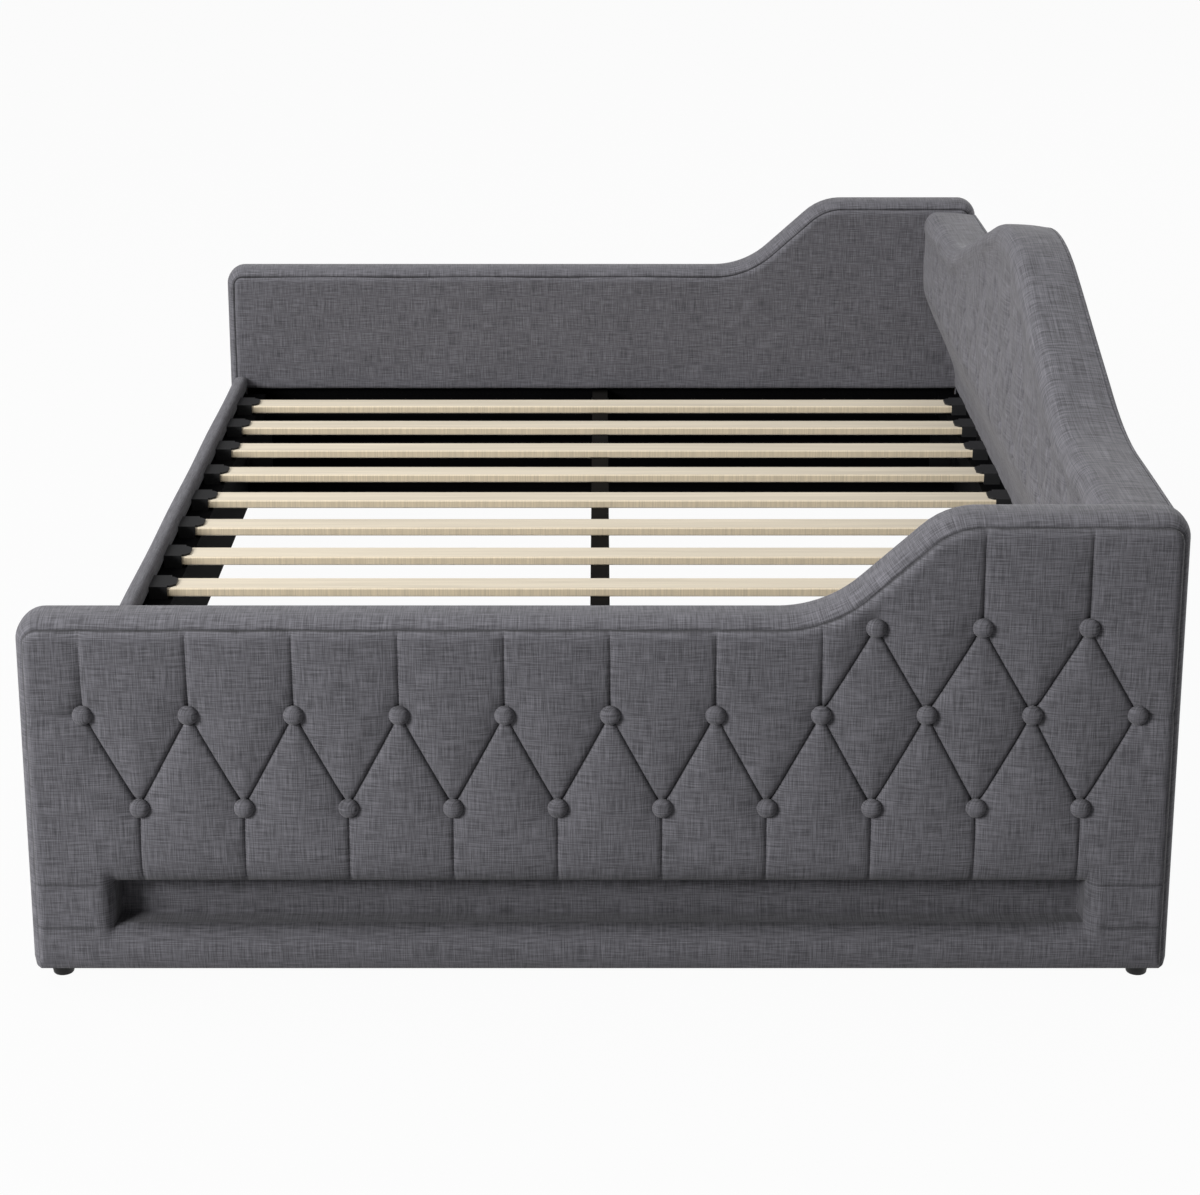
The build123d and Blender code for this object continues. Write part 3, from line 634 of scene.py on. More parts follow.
def back_buttons():
    """The three rows of the backrest as arrays of (x, z), lowest first."""
    tuft = tufting()
    count = int((BACK_HIGH.x - BACK_LOW.x - BACK_MARGINS) // tuft.pitch) + 1
    low = button_row(-(count - 1) / 2 * tuft.pitch, count)
    middle = low[:-1] + tuft.pitch / 2
    high = low[np.abs(low) < CREST_REACH]
    return [grid(low, tuft.back_low), grid(middle, tuft.back_middle), grid(high, tuft.back_high)]


def diagonals(lower, upper):
    """Pleats between neighbours of two rows, as (start, end, strength at start, strength at end)."""
    reach = 0.6 * tufting().pitch
    return [(a, b, 1.0, 1.0) for a in lower for b in upper if abs(a[0] - b[0]) < reach]


def arm_pleats():
    """Every pleat of an arm's outer face."""
    low, middle, high = arm_buttons()
    pleats = diagonals(low, middle) + diagonals(middle, high)
    first, level = high[0]
    pleats += [((y, z), (y, seam(y)), *PLEAT_ENDS) for y, z in middle if y < first]
    pleats.append(((first, level), (first, level + SHORT_PLEAT), PLEAT_ENDS[0], 0.0))
    pleats += [((y, z), (y, seam(y)), *PLEAT_ENDS) for y, z in high[1:]]
    pleats += [((y, z), (y, PANEL_HIGH.z), *PLEAT_ENDS) for y, z in low]
    for (y, z), edge in ((middle[0], -ARM_EDGE), (middle[-1], ARM_EDGE)):
        pleats.append(((y, z), (edge, z), *SIDE_PLEAT_ENDS))
    return pleats


def back_pleats():
    """Every pleat of the back pad's front."""
    low, middle, high = back_buttons()
    pleats = diagonals(low, middle) + diagonals(middle, high)
    outer = max(high[:, 0])
    topped = list(high) + [place for place in middle if abs(place[0]) > outer]
    pleats += [((x, z), (x, back_top(x) - BROW_GAP), *BACK_UP_ENDS) for x, z in topped]
    pleats += [((x, z), (x, shape().hem_height), *BACK_DOWN_ENDS) for x, z in low]
    return pleats


def off_pleat(pleat, across, up):
    """Ways across and up from places to a pleat's line, their length, and the pleat's strength there."""
    start, end, near, far = pleat
    run = np.subtract(end, start)
    t = np.clip(((across - start[0]) * run[0] + (up - start[1]) * run[1]) / (run @ run), 0, 1)
    aside, above = start[0] + t * run[0] - across, start[1] + t * run[1] - up
    return aside, above, np.hypot(aside, above), near + (far - near) * t


def gathered(across, up, pleats):
    """Places on a padded face, drawn in beside every pleat so that its crease is narrow."""
    nearest = np.full_like(across, np.inf)
    aside, above = np.zeros_like(across), np.zeros_like(across)
    for pleat in pleats:
        over, under, distance, _ = off_pleat(pleat, across, up)
        closer = distance < nearest
        nearest = np.where(closer, distance, nearest)
        aside, above = np.where(closer, over, aside), np.where(closer, under, above)
    gather = tufting().gather * np.exp(-nearest / GATHER_REACH)
    share = gather / (nearest + gather)
    return across + share * aside, up + share * above


def pull(across, up, pleats, buttons, line, soft, hole):
    """How far pleats and buttons pull a padded face in, and how near it is to a pleat's line."""
    tuft = tufting()
    crease, valley = np.zeros_like(across), np.zeros_like(across)
    for pleat in pleats:
        _, _, distance, strength = off_pleat(pleat, across, up)
        crease = np.maximum(crease, strength * np.exp(-distance / tuft.crease_width))
        valley += (strength * np.exp(-((distance / tuft.pleat_width) ** 1.15))) ** 5
    depth = line * crease + soft * valley**0.2
    for place, height in np.concatenate(buttons):
        radius = np.hypot(across - place, up - height)
        turn = np.arctan2(up - height, across - place)
        ring = np.exp(-radius / BUTTON_FOLD_REACH) * (1 - np.exp(-radius / BUTTON_FOLD_START))
        depth += hole * hump(radius, tuft.dimple_width)
        depth += BUTTON_FOLD * np.cos(BUTTON_FOLDS * turn + 40 * place) * ring
    return depth, crease


def tufted_columns(edges, first, last, fine=6):
    """Places across a tufted face with a column on every pleat's end, the first of those and their count."""
    half, steps = tufting().pitch / 2, tufting().steps
    halves = int(round((last - first) / half))
    low, high = edges[0] + COLUMN_EDGE, edges[1] - COLUMN_EDGE
    stretches = [(edges[0], low, fine), (low, first, fine)]
    stretches += [(first + k * half, first + k * half + half, steps) for k in range(halves)]
    stretches += [(last, high, fine), (high, edges[1], fine)]
    return spaced(*stretches), 2 * fine, halves


def pleat_splits(rings, start, halves, bands):
    """Which way each quad is parted. bands holds (first row, rising first) for each band of diamonds."""
    splits = np.zeros((rings.shape[0] - 1, rings.shape[1]), int)
    steps = tufting().steps
    for row, rising in bands:
        for k in range(halves):
            way = 1 if (k % 2 == 0) == rising else 2
            splits[start + k * steps : start + (k + 1) * steps, row : row + steps] = way
    return splits


class DAYBED_OT_tufted_arms(bpy.types.Operator):
    """Make the deep-buttoned outer faces of the two arms"""

    bl_idname = "daybed.tufted_arms"
    bl_label = "Tufted arms"

    def execute(self, context):
        tuft = tufting()
        _, middle, high = arm_buttons()
        y, start, halves = tufted_columns((-ARM_EDGE, ARM_EDGE), middle[0][0], middle[-1][0])
        top = seam(y)
        meeting = high[0][0] - tuft.pitch / 2
        blend = step_between(meeting - tuft.pitch / 2, meeting, y)
        high_level = (top - PLAIN_MARGIN) * (1 - blend) + tuft.arm_high * blend
        levels = [PANEL_HIGH.z, PANEL_HIGH.z + LIP_ABOVE, tuft.arm_low, tuft.arm_middle, high_level, top]
        lip_rows, plain_rows, steps = 8, 12, tuft.steps
        counts = (lip_rows, plain_rows, steps, steps, 14)
        y, z = gathered(*stacked(y, levels, counts, (0.6, 1, 1, 1, 1.7)), arm_pleats())
        depths = (tuft.crease_depth, tuft.pleat_depth, tuft.dimple_depth)
        relief, crease = pull(y, z, arm_pleats(), arm_buttons(), *depths)
        rings, uv = arm_pad(y, z, relief=relief, crease=crease)
        rings[:, -2, 2] -= SEAM_TUCK
        row = lip_rows + plain_rows
        splits = pleat_splits(rings, start + 1, halves, ((row, False), (row + steps, True)))
        settle_arms("tufting", rings, uv, ["tufted_pad"], 0.8, splits)
        return {"FINISHED"}


class DAYBED_OT_arm_borders(bpy.types.Operator):
    """Make the plain pads round the recess of each arm: its two ends and the roll under it"""

    bl_idname = "daybed.arm_borders"
    bl_label = "Arm base rolls and end pads"

    def execute(self, context):
        inner, lip, edge = PANEL_HIGH.y, PANEL_HIGH.y + 0.024, ARM_EDGE - 0.018
        under, waist = BASE_LOW.z + 0.010, 0.060
        y = spaced((inner, lip, 10), (lip, edge, 10), (edge, ARM_EDGE, 8))
        z = edged(PANEL_LOW.z, PANEL_HIGH.z, 0.012, 8, 8)
        end_y, end_z = np.meshgrid(y, z, indexing="ij")
        settle_arms("end_front", *arm_pad(-end_y, end_z, (-1,)), [], 0.8)
        settle_arms("end_back", *arm_pad(end_y, end_z, (-1,)), ["end_pads"], 0.8)
        y = np.concatenate([-y[::-1], spaced((-inner, inner, 60))[1:-1], y])
        z = spaced((BASE_LOW.z, under, 6), (under, waist, 12), (waist, BASE_HIGH.z, 16))
        settle_arms("roll", *arm_pad(*np.meshgrid(y, z, indexing="ij")), ["base_roll"], 0.8)
        return {"FINISHED"}


PANEL_PAINTED_SHADE, PANEL_SHADE, PANEL_SHADE_WIDTH = 0.28, 0.35, 0.006  # painted shade: the recess lies in its own shade, drawn as an even share with more along its edges over a width
WALL_FOOT = 0.0045  # width of the rounded foot of the recess's walls
WALL_STEPS = np.array([0, 0.0006, 0.0012, 0.002, 0.003, WALL_FOOT, 0.0065, 0.009, 0.013])


class DAYBED_OT_arm_recesses(bpy.types.Operator):
    """Line the long recess in the outer face of each arm"""

    bl_idname = "daybed.arm_recesses"
    bl_label = "Arm recesses"

    def execute(self, context):
        sizes = ((-PANEL_HIGH.y, PANEL_HIGH.y, 0.030, 40), (PANEL_LOW.z, PANEL_HIGH.z, 0.018, 6))
        places = []
        for low, high, inset, steps in sizes:
            plain = spaced((low + inset, high - inset, steps))
            places.append(np.concatenate([low + WALL_STEPS, plain, (high - WALL_STEPS)[::-1]]))
        y, z = np.meshgrid(*places, indexing="ij")
        inward = np.minimum.reduce([PANEL_HIGH.y - np.abs(y), z - PANEL_LOW.z, PANEL_HIGH.z - z])
        rise = (1 - np.clip(inward / WALL_FOOT, 0, 1)) ** 2.5
        x = PANEL_HIGH.x + (TUFTED_LOW.x - PANEL_HIGH.x) * rise
        # Painted shade over the whole lining, darker along its edges
        painted_shade = PANEL_PAINTED_SHADE + PANEL_SHADE * np.exp(-inward / PANEL_SHADE_WIDTH)
        rings, uv = padded_ring(grid(x, y, z), 0, PANEL_LOW.x), ring_uv(grid(y, z + x, painted_shade))
        settle_arms("recess_cover", rings, uv, ["recess_panel", "recess_lining"], 0.9)
        return {"FINISHED"}


def arm_path(step):
    """Points on an arm's seam from its front foot to its back foot, with the outward direction at each."""
    corner, edge = shape().seam_corner, ARM_EDGE
    low, tall = shape().low_seam, TUFTED_HIGH.z
    short, long = corner * (1 - np.cos(QUARTER)), corner * (1 - np.sin(QUARTER))
    y = np.arange(-edge + corner + step, edge - corner, step)
    stretches = (
        grid(-edge, np.arange(BASE_LOW.z, low - corner, step)),
        grid(-edge + short, low - long),
        grid(y, flat_seam(y)),
        grid(edge - long, tall - short),
        grid(edge, np.append(np.arange(tall - corner - step, BASE_LOW.z, -step), BASE_LOW.z)),
    )
    path = np.concatenate(stretches)
    ahead = np.gradient(path, axis=0)
    ahead /= np.linalg.norm(ahead, axis=1)[:, None]
    return path, grid(-ahead[:, 1], ahead[:, 0])


BAND_HEIGHT, BAND_EDGE, BAND_ROOT = 0.017, 0.004, 0.005  # crown, and how deep its edges and its underside lie
BAND_ROLL = 0.15, 0.010  # the band's two feet, as a share of its height
BAND_HIDDEN = 0.002  # how far its inner edge lies under the inner face


class DAYBED_OT_arm_bands(bpy.types.Operator):
    """Make the crowned band that runs over each arm between its two seams"""

    bl_idname = "daybed.arm_bands"
    bl_label = "Arm border bands"

    def execute(self, context):
        path, out = arm_path(0.010)
        run = run_along(path)
        t = (1 - np.cos(np.linspace(0, math.pi, 23))) / 2
        start, end = BAND_INNER - BAND_HIDDEN, TUFTED_HIGH.x - SEAM_ROLL[0] - SEAM_SLOT
        x = start + (end - start) * t
        crown = (1 - np.abs(2 * t - 1) ** 2.7) ** 0.6
        tuck = 1 - rolled(np.minimum(run, run[-1] - run), *BAND_ROLL)
        height = (BAND_HEIGHT * crown - BAND_EDGE) * tuck[:, None]
        across, up = path.T[..., None] + out.T[..., None] * height
        root = (path - out * BAND_ROOT).T[..., None]
        front = grid(x, across, up)
        rings = np.concatenate([front, grid(x[[-1, 0]], *root)], axis=1)
        # Painted shade: a dark line along each edge of the band, where it meets a seam
        painted_seam_shade = hump(np.minimum(x - x[0], x[-1] - x), SEAM_SHADE)
        uv = ring_uv(grid(x, run[:, None], painted_seam_shade))
        settle_arms("band", rings, uv, ["border_band"], 0.7)
        return {"FINISHED"}


INNER_ROLL, HEM_ROLL, RETURN_ROLL = (0.014, 0.013), (0.004, 0.008), (0.3, 0.008)
INNER_RIPPLE, COVER_RIPPLE = 0.0007, 0.0006  # slack in plain stretches of fabric
RETURN_SQUARE = 0.3  # power that squares a round section


class DAYBED_OT_arm_insides(bpy.types.Operator):
    """Make the plain inner faces of the arms and the padded returns beside the rails"""

    bl_idname = "daybed.arm_insides"
    bl_label = "Arm inner pads and returns"

    def execute(self, context):
        bottom = INNER_LOW.z
        y = edged(-ARM_EDGE, ARM_EDGE, 0.022, 10, 130)
        levels = [bottom, bottom + 0.012, seam(y) - 0.02, seam(y)]
        y, z = stacked(y, levels, (5, 24, 12), (1, 1, 1.6))
        inward = seam_distance(y, z)
        fall = np.maximum(rolled(inward, *INNER_ROLL), rolled(z - bottom, *HEM_ROLL))
        ripple = INNER_RIPPLE * (1 + np.sin(21 * y + 3 * np.sin(9 * z)) * np.cos(13 * z))
        rings = padded_ring(grid(INNER_LOW.x + fall + ripple, y, z), 0, INNER_HIGH.x)
        # Painted shade: a dark line along the seam at the top of the inner face
        uv = ring_uv(grid(y, z, hump(inward, SEAM_SHADE)))
        settle_arms("inner_face", rings, uv, ["inner_pad"], 0.85)
        low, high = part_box("right_arm_edge_returns")
        self.make_return("front", low, (high.x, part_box("front_rail_board")[1].y, high.z), ["edge_returns"])
        self.make_return("back", (low.x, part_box("back_rail")[0].y, low.z), high, [])
        return {"FINISHED"}

    def make_return(self, word, low, high, nodes):
        """A narrow pad that carries the fabric round one edge of each arm under the deck."""
        middle, half = np.add(low, high) / 2, np.subtract(high, low) / 2
        z = spaced((low[2], low[2] + 0.01, 4), (low[2] + 0.01, high[2], 10))[:, None]
        shrink = 1 - rolled(z - low[2], *RETURN_ROLL)
        turn = np.linspace(0, 2 * math.pi, 33)[:-1]
        section = np.array([np.cos(turn), np.sin(turn)])
        section = np.sign(section) * np.abs(section) ** RETURN_SQUARE
        x, y = (middle[k] + half[k] * section[k] * shrink for k in (0, 1))
        settle_arms(f"return_{word}", grid(x, y, z), grid(x + y, z), nodes, 0.8)


# Backrest

END_ROLL, TOP_ROLL = (0.010, 0.014), (0.006, 0.012)  # the pad's two ends, on its front and on its top
COVER_ROLL, RAIL_HEM_ROLL, RAIL_END_ROLL = (0.0065, 0.010), (0.006, 0.010), (0.004, 0.012)
BROW_RELIEF = 0.35  # what is left of the pleats' depth at the brow
REAR_EDGE = 0.002  # radius of the pad's rear top edge
BACK_PUCKER, BACK_PUCKER_SPACING = 0.0004, 0.027
PAINTED_BACK_PLEAT_SHADE = 0.32  # strength of the painted shade, a dark line, in a pleat
BACK_BEAD, BACK_BEAD_WIDTH = 0.004, 0.018  # the fuller line along the brow
BACK_FALL = 0.35 * (BACK_HIGH.z - COVER_TOP)  # how far the pad's top falls to the rear
BACK_WEAVE = 0.36  # the weave is drawn coarser along the backrest, which is mostly seen at a flat angle
HEM_DEPTH, HEM_SOFT, RIDGE_SOFT = 0.003, 0.014, 0.010


def back_top(x):
    """Height of the camel-back top line along the bed."""
    form = shape()
    radii = form.dip_radius, form.crest_radius
    return s_curve(np.abs(x), form.back_shoulder, BACK_HIGH.z, *radii, form.back_slope, from_head=True)


def back_lean_y(z):
    """Place of the leaning front of the back pad at a height, from its ridge up."""
    form = shape()
    return form.ridge_front + form.back_lean * (z - form.ridge_height) / (BACK_HIGH.z - form.ridge_height)


def back_front_y(z):
    """Front of the back pad: hem, taper out to the soft ridge, then the lean."""
    form = shape()
    hem = BOARD_LOW.y - HEM_DEPTH
    taper = hem + (form.ridge_front - hem) * (z - form.hem_height) / (form.ridge_height - form.hem_height)
    lean = back_lean_y(z)
    face = (taper + lean + np.hypot(taper - lean, RIDGE_SOFT)) / 2
    face = (face + hem - np.hypot(face - hem, HEM_SOFT)) / 2
    return face - 0.001 * hump(z - BACK_LOW.z - 0.010, 0.007)


class DAYBED_OT_backrest(bpy.types.Operator):
    """Make the deep-buttoned camel-back pad"""

    bl_idname = "daybed.backrest"
    bl_label = "Tufted backrest"

    def execute(self, context):
        tuft, form = tufting(), shape()
        brow, dome, steps = form.back_brow, form.back_dome, tuft.steps
        low, _, high = back_buttons()
        x, start, halves = tufted_columns((BACK_LOW.x, BACK_HIGH.x), low[0][0], low[-1][0])
        top = back_top(x)
        counts = (6, 18, 5, steps, steps, 10)
        levels = [BACK_LOW.z, form.hem_height, form.ridge_height - 0.012, tuft.back_low, tuft.back_middle]
        across, z = stacked(x, levels + [self.high_level(x, top, high), top - brow], counts)
        depths = (tuft.back_crease, tuft.back_pleat, tuft.back_dimple)
        relief, crease = pull(across, z, back_pleats(), back_buttons(), *depths)
        drift = 2.2 * np.sin(23 * z) + 1.7 * np.sin(9 * across + 31 * z)
        relief += BACK_PUCKER * (1 + np.sin(2 * math.pi * across / BACK_PUCKER_SPACING + drift))
        column, crown = x[:, None], top[:, None]
        below_brow = crown - brow - z
        fade = BROW_RELIEF + (1 - BROW_RELIEF) * (1 - step_between(-0.012, 0.010, 0.01 - below_brow))
        ends = np.minimum(column - BACK_LOW.x, BACK_HIGH.x - column)
        roll = rolled(ends, *END_ROLL) * step_between(BACK_LOW.z, form.hem_height + 0.05, z)
        hemmed = step_between(BACK_LOW.z, form.hem_height + 0.03, z)
        y = back_front_y(z) + relief * fade * hemmed + roll - BACK_BEAD * hump(below_brow, BACK_BEAD_WIDTH)
        turn, t = QUARTER[1:], np.linspace(0, 1, 9)[1:]
        shoulder, rear = y[:, -1:] + dome, BACK_HIGH.y - REAR_EDGE
        sunk = crown - rolled(ends, *TOP_ROLL)
        board_top = crown - (BACK_HIGH.z - BOARD_HIGH.z)
        sections = (
            (y, z),
            (shoulder - dome * np.cos(turn), sunk - brow * (1 - np.sin(turn))),
            (shoulder + (rear - shoulder) * t, sunk - BACK_FALL * t**2.2),
            (rear + REAR_EDGE * np.sin(turn), sunk - BACK_FALL - REAR_EDGE * (1 - np.cos(turn))),
            (BACK_HIGH.y, board_top),
            (BOARD_LOW.y, board_top),
            (BOARD_LOW.y, BACK_LOW.z),
        )
        rings = np.concatenate([grid(column, depth, height) for depth, height in sections], axis=1)
        run = BACK_LOW.z + run_along(rings[len(x) // 2])
        # Painted shade: a dark line along each pleat, fading out towards the hem
        painted_shade = np.pad(PAINTED_BACK_PLEAT_SHADE * crease * hemmed, ((0, 0), (0, rings.shape[1] - z.shape[1])))
        uv = grid(BACK_WEAVE * column, run, painted_shade)
        row = sum(counts[:3])
        splits = pleat_splits(rings, start, halves, ((row, True), (row + steps, False)))
        settle(loft("back_tufting", rings, uv, woven_polyester, splits=splits), ["back_pad"])
        return {"FINISHED"}

    def high_level(self, x, top, high):
        """Height of the mesh row that runs through the high buttons and carries on beside them."""
        tuft, far = tufting(), np.abs(x)
        reach = max(high[:, 0]) + tuft.pitch / 2
        share = (tuft.back_high - tuft.back_middle) / (back_top(reach) - tuft.back_middle)
        share = share + (0.45 - share) * np.clip((far - reach) / (tuft.pitch / 2), 0, 1)
        beyond = tuft.back_middle + share * (top - shape().back_brow - tuft.back_middle)
        return np.where(far <= reach, tuft.back_high, beyond)


class DAYBED_OT_rear_covers(bpy.types.Operator):
    """Cover the rear of the backrest and the outside of the back rail"""

    bl_idname = "daybed.rear_covers"
    bl_label = "Rear covers"

    def execute(self, context):
        edge = 0.014
        for node in ("back_rear_cover", "back_rail_cover"):
            low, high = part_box(node)
            x = edged(low.x, high.x, 0.016, 8, 120)
            top = back_top(x) - BACK_FALL if node == "back_rear_cover" else np.full_like(x, high.z)
            levels = [low.z, low.z + edge, top - edge, top]
            across, z = stacked(x, levels, (7, 24, 9), (0.7, 1, 1.5))
            inward = np.minimum.reduce([across - low.x, high.x - across, z - low.z, top[:, None] - z])
            ripple = COVER_RIPPLE * (1 + np.sin(17 * across) * np.cos(15 * z + 2 * across))
            y = high.y - rolled(inward, *COVER_ROLL) - ripple
            rings = padded_ring(grid(across, y, z), 1, low.y)
            piece = loft(f"{node}_panel", rings, ring_uv(grid(across, z)), woven_polyester)
            settle(piece, [node])
        return {"FINISHED"}


class DAYBED_OT_front_rail(bpy.types.Operator):
    """Upholster the front rail over its top"""

    bl_idname = "daybed.front_rail"
    bl_label = "Front rail cover"

    def execute(self, context):
        low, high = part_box("front_rail_cover")
        board_low, board_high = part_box("front_rail_board")
        inner_end, radius, square = INNER_LOW.z, 0.014, 0.75
        middle, half = (low.y + high.y) / 2, (high.y - low.y) / 2
        shoulder = high.z - radius
        z = spaced((low.z, low.z + 0.012, 6), (low.z + 0.012, shoulder, 20))
        outside = grid(low.y + rolled(z - low.z, *RAIL_HEM_ROLL), z)
        turn = np.linspace(0, math.pi, 25)[1:-1]
        bow = half * np.sign(np.cos(turn)) * np.abs(np.cos(turn)) ** square
        bow = grid(middle - bow, shoulder + radius * np.sin(turn) ** square)
        inside = (
            (high.y, shoulder),
            (high.y, inner_end + 0.004),
            (high.y - 0.001, inner_end),
            (board_high.y, inner_end),
            (board_high.y, board_high.z),
            (board_low.y, board_high.z),
            (board_low.y, low.z),
        )
        section = np.concatenate([outside, bow, inside])
        depth, height = section.T
        shown = np.arange(len(section)) < len(outside) + len(bow)
        x = edged(low.x, high.x, 0.016, 6, 90)[:, None]
        end = rolled(np.minimum(x - low.x, high.x - x), *RAIL_END_ROLL)
        ripple = COVER_RIPPLE * (1 + np.sin(14 * x) * np.cos(22 * height))
        y = depth + (shown & (depth < middle)) * (end + ripple)
        z = height - (shown & (height > shoulder)) * end * 0.6
        uv = grid(x, run_along(section))
        piece = loft("front_rail_upholstery", grid(x, y, z), uv, woven_polyester)
        settle(piece, ["front_rail_cover"])
        return {"FINISHED"}


# Buttons, cloth and feet

BUTTON_SHOWN = 0.0015  # how far a button's dome stands out of the arm's plain face
CLOTH_FACE, CLOTH_SLACK, CLOTH_EDGE = 0.0008, 0.0004, 0.03  # place, slack and plain edge
FOOT_RADIUS, GLIDE_RADIUS = 0.017, 0.019


def turned(name, profile, places, outward, dressing, sides=28):
    """One object of like round pieces, turned about a direction from a profile of (radius, height)."""
    outward = Vector(outward).normalized()
    aside = outward.orthogonal().normalized()
    angle = np.linspace(0, 2 * math.pi, sides, endpoint=False)[:, None]
    circle = np.cos(angle) * np.array(aside) + np.sin(angle) * np.array(outward.cross(aside))
    rings = np.stack([radius * circle + height * np.array(outward) for radius, height in profile])
    made = []
    for k, place in enumerate(places):
        points = rings + place
        uv = grid(points[..., 0] + points[..., 1], points[..., 2])
        made.append(loft(f"{name}_{k}", points, uv, dressing))
    with bpy.context.temp_override(active_object=made[0], selected_editable_objects=made):
        bpy.ops.object.join()
    made[0].name = made[0].data.name = name
    return made[0]


class DAYBED_OT_buttons(bpy.types.Operator):
    """Set the fabric-covered buttons in the arms and the backrest"""

    bl_idname = "daybed.buttons"
    bl_label = "Covered buttons"

    def execute(self, context):
        tuft, form = tufting(), shape()
        radius, height = tuft.button_radius, tuft.button_height
        turn = np.linspace(0, math.pi / 2, 9)[:-1]
        dome = [(0.80 * radius, -0.003), (0.97 * radius, -0.0012)]
        dome += [(radius * math.cos(a) ** 0.8, height * math.sin(a)) for a in turn]
        dome.append((0.0006, height))
        seat = height - BUTTON_SHOWN
        for name, side in SIDES:
            places = [(side * (TUFTED_HIGH.x - seat), y, z) for y, z in np.concatenate(arm_buttons())]
            piece = turned(f"{name}_arm_covered_buttons", dome, places, (side, 0, 0), woven_polyester)
            settle(piece, [f"{name}_arm_buttons"])
        outward = (0, -(BACK_HIGH.z - form.ridge_height), form.back_lean)
        seat += tuft.back_sink
        places = [(x, back_lean_y(z) + seat, z) for x, z in np.concatenate(back_buttons())]
        settle(turned("back_covered_buttons", dome, places, outward, woven_polyester), ["back_buttons"])
        return {"FINISHED"}


class DAYBED_OT_dust_covers(bpy.types.Operator):
    """Stretch the black dust cloth over the inside of each arm under the deck"""

    bl_idname = "daybed.dust_covers"
    bl_label = "Dust covers"

    def execute(self, context):
        low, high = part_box("right_arm_dust_cover")
        y, z = np.meshgrid(spaced((low.y, high.y, 140)), spaced((low.z, high.z, 24)), indexing="ij")
        inward = np.minimum.reduce([y - low.y, high.y - y, z - low.z, high.z - z])
        slack = CLOTH_SLACK * np.clip(inward / CLOTH_EDGE, 0, 1) * (1 + np.sin(60 * y + 4 * np.sin(20 * z)))
        points = grid(low.x + CLOTH_FACE - slack, y, z)
        for name, side in SIDES:
            places = points * (side, 1, 1)
            cloth = loft(f"{name}_arm_dust_cloth", places, grid(y, z), nonwoven_polypropylene, closed=False)
            settle(cloth, [f"{name}_arm_dust_cover"])
        return {"FINISHED"}


class DAYBED_OT_feet(bpy.types.Operator):
    """Make the turned feet under the arms and the glides under the centre legs"""

    bl_idname = "daybed.feet"
    bl_label = "Feet and glides"

    def execute(self, context):
        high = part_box("arm_feet")[1]
        x, y = high.x - FOOT_RADIUS, high.y - FOOT_RADIUS
        places = [(-x, -y, 0), (-x, y, 0), (x, -y, 0), (x, y, 0)]
        self.make("arm_feet", "arm_turned_feet", places, FOOT_RADIUS, high.z)
        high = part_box("leg_glides")[1]
        x = high.x - GLIDE_RADIUS
        self.make("leg_glides", "leg_turned_glides", [(-x, 0, 0), (x, 0, 0)], GLIDE_RADIUS, high.z)
        return {"FINISHED"}

    def make(self, node, name, places, radius, height):
        """Like feet, which widen from a small rounded sole."""
        profile = [(radius - 0.0055, 0.0), (radius - 0.0045, 0.0004), (radius - 0.0037, 0.0014)]
        profile += [(radius - 0.0008, height - 0.003), (radius, height - 0.0015), (radius, height)]
        piece = turned(name, profile, places, (0, 0, 1), foot_polypropylene, 48)
        settle(piece, [node])


SLAT_EASE, TIMBER_EASE, STEEL_EASE = 0.0008, 0.0015, 0.0007  # widths of eased edges


def dress(nodes, dressing, bevel):
    """Gives CAD nodes their material and eases their edges."""
    made = material(dressing.__name__, dressing)
    for node in nodes:
        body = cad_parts[node]
        body.data.materials.clear()
        body.data.materials.append(made)
        if bevel:
            easing = body.modifiers.new("eased_edges", "BEVEL")
            easing.width = bevel
            easing.segments = 2
            easing.limit_method = "ANGLE"
            easing.angle_limit = math.radians(40)


class DAYBED_OT_deck(bpy.types.Operator):
    """Finish the slats, rails, ledgers, cleats, beam and hidden boards"""

    bl_idname = "daybed.deck"
    bl_label = "Slatted deck and timber"

    def execute(self, context):
        arms = [f"{name}_arm" for name, _ in SIDES]
        dress([f"slat_{k:02d}" for k in range(1, 13)], lacquered_poplar, SLAT_EASE)
        # The back board takes the black paint too; where its edge shows at the rear between the cover and the
        # arm, that black also stands as painted shade of the gap
        black = ["front_ledger", "back_ledger", "front_rail_board", "back_rail", "back_board"]
        black += [f"{arm}_{word}_cleat" for arm in arms for word in ("upper", "lower")]
        dress(black, painted_softwood, TIMBER_EASE)
        dress(["centre_beam"], stained_softwood, TIMBER_EASE)
        hidden = [f"{arm}_{word}" for arm in arms for word in ("board", "frame")]
        dress(hidden, bare_plywood, 0)
        return {"FINISHED"}


class DAYBED_OT_fittings(bpy.types.Operator):
    """Finish the slat holders, the legs, the saddles, the brackets and the bolts"""

    bl_idname = "daybed.fittings"
    bl_label = "Fittings"

    def execute(self, context):
        dress(["front_slat_holders", "back_slat_holders"], holder_polypropylene, SLAT_EASE)
        steel = ["beam_saddles", "centre_legs", "back_brackets", "corner_brackets", "frame_bolts"]
        dress(steel, powder_coated_steel, STEEL_EASE)
        return {"FINISHED"}


# Studio

FLOOR_GLOW = 0.96  # how much of the floor's look is plain white rather than lit paper
SKY_STRENGTH = 0.2
LAMPS = (  # name, place, aim, size, power in watts
    ("front", (-0.5, -3.9, 4.6), (0.0, 0.5, 0.5), 2.4, 195),
    ("end", (4.83, -5.2, 2.98), (1.0, 0.0, 0.25), 2.2, 545),
    ("top", (0.0, 0.6, 5.0), (0.0, 0.6, 0.0), 4.5, 70),
    ("rear", (-4.5, 6.0, 1.2), (-0.3, 0.4, 0.35), 2.5, 300),
)
CAMERA_PLACE, CAMERA_TILT = (4.230, 0.0, 1.6472), math.radians(15.6)


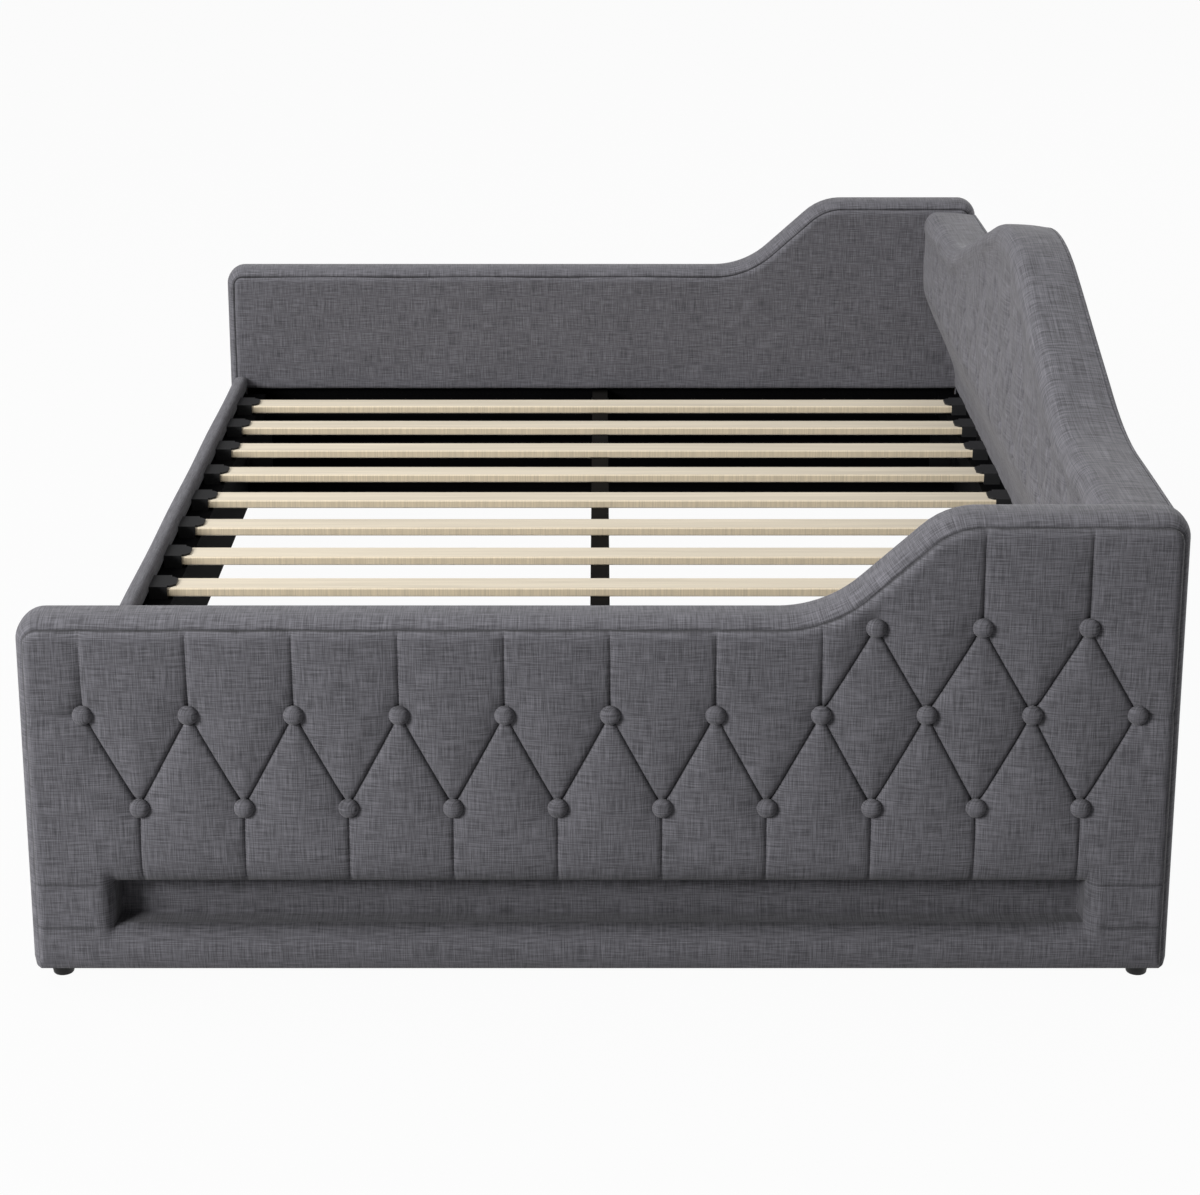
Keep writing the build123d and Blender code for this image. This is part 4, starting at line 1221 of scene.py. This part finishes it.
def studio_floor(tree):
    """Seamless paper: the camera and mirrors see it near white, and it keeps the bed's soft shadow."""
    path = put(tree, "ShaderNodeLightPath").outputs
    seen = reckon(tree, "MAXIMUM", path["Is Camera Ray"], path["Is Glossy Ray"])
    seen = reckon(tree, "MAXIMUM", seen, path["Is Transmission Ray"])
    share = reckon(tree, "MULTIPLY", seen, FLOOR_GLOW)
    matt = put(tree, "ShaderNodeBsdfDiffuse", {"Color": linear(finish().floor)})
    bright = put(tree, "ShaderNodeEmission", {"Color": (1, 1, 1, 1), "Strength": 1.0})
    return put(tree, "ShaderNodeMixShader", {0: share, 1: matt.outputs[0], 2: bright.outputs[0]})


class DAYBED_OT_studio(bpy.types.Operator):
    """Set up the floor, the soft lights and the camera"""

    bl_idname = "daybed.studio"
    bl_label = "Studio"

    def execute(self, context):
        scene = context.scene
        scene.view_settings.view_transform = "Standard"
        reach = spaced((-30.0, 30.0, 12))
        x, y = np.meshgrid(reach, reach, indexing="ij")
        loft("studio_floor", grid(x, y, -0.0005), grid(x, y), studio_floor, closed=False)
        self.make_sky(scene)
        for lamp in LAMPS:
            self.make_lamp(scene, *lamp)
        self.make_camera(scene)
        return {"FINISHED"}

    def make_sky(self, scene):
        """White to the camera, and a plain even light on the bed."""
        scene.world = bpy.data.worlds.new("studio_sky")
        scene.world.use_nodes = True
        tree = scene.world.node_tree
        tree.nodes.clear()
        seen = put(tree, "ShaderNodeLightPath").outputs["Is Camera Ray"]
        even = put(tree, "ShaderNodeBackground", {"Color": (1, 1, 1, 1), "Strength": SKY_STRENGTH})
        white = put(tree, "ShaderNodeBackground", {"Color": (1, 1, 1, 1), "Strength": 1.0})
        both = put(tree, "ShaderNodeMixShader", {0: seen, 1: even.outputs[0], 2: white.outputs[0]})
        put(tree, "ShaderNodeOutputWorld", {"Surface": both.outputs[0]})

    def make_lamp(self, scene, name, place, aim, size, power):
        """A square soft box that looks at a point."""
        lamp = bpy.data.lights.new(f"{name}_soft_box", "AREA")
        lamp.shape = "SQUARE"
        lamp.size = size
        lamp.energy = power
        stand = bpy.data.objects.new(lamp.name, lamp)
        stand.location = place
        stand.rotation_euler = (Vector(aim) - Vector(place)).to_track_quat("-Z", "Y").to_euler()
        scene.collection.objects.link(stand)

    def make_camera(self, scene):
        """A long lens above one end of the bed, looking along it and down."""
        lens = bpy.data.cameras.new("studio_camera")
        lens.sensor_width = 36.0
        lens.lens = 81.37
        lens.shift_y = -0.15
        lens.clip_end = 200.0
        camera = bpy.data.objects.new("studio_camera", lens)
        camera.location = CAMERA_PLACE
        ahead = Vector((-math.cos(CAMERA_TILT), 0, -math.sin(CAMERA_TILT)))
        camera.rotation_euler = ahead.to_track_quat("-Z", "Y").to_euler()
        scene.collection.objects.link(camera)
        scene.camera = camera


MAKERS = (
    DAYBED_OT_tufted_arms,
    DAYBED_OT_arm_borders,
    DAYBED_OT_arm_recesses,
    DAYBED_OT_arm_bands,
    DAYBED_OT_arm_insides,
    DAYBED_OT_backrest,
    DAYBED_OT_rear_covers,
    DAYBED_OT_front_rail,
    DAYBED_OT_buttons,
    DAYBED_OT_dust_covers,
    DAYBED_OT_feet,
    DAYBED_OT_deck,
    DAYBED_OT_fittings,
    DAYBED_OT_studio,
)
GROUPS = {"daybed_shape": DaybedShape, "daybed_tufting": DaybedTufting, "daybed_finish": DaybedFinish}


class DAYBED_PT_sidebar(bpy.types.Panel):
    """Sizes, finishes and pieces of the daybed"""

    bl_label = "Daybed"
    bl_idname = "DAYBED_PT_sidebar"
    bl_space_type = "VIEW_3D"
    bl_region_type = "UI"
    bl_category = "Daybed"

    def draw(self, context):
        for group, kind in GROUPS.items():
            box = self.layout.box()
            for key in kind.__annotations__:
                box.prop(getattr(context.scene, group), key)
        for maker in MAKERS:
            self.layout.operator(maker.bl_idname)


def register():
    for kind in (*GROUPS.values(), *MAKERS, DAYBED_PT_sidebar):
        bpy.utils.register_class(kind)
    for group, kind in GROUPS.items():
        setattr(bpy.types.Scene, group, PointerProperty(type=kind))


def unregister():
    for group in GROUPS:
        delattr(bpy.types.Scene, group)
    for kind in (DAYBED_PT_sidebar, *reversed(MAKERS), *GROUPS.values()):
        bpy.utils.unregister_class(kind)


def main():
    register()
    for maker in MAKERS:
        family, word = maker.bl_idname.split(".")
        getattr(getattr(bpy.ops, family), word)()


if __name__ == "__main__":
    main()
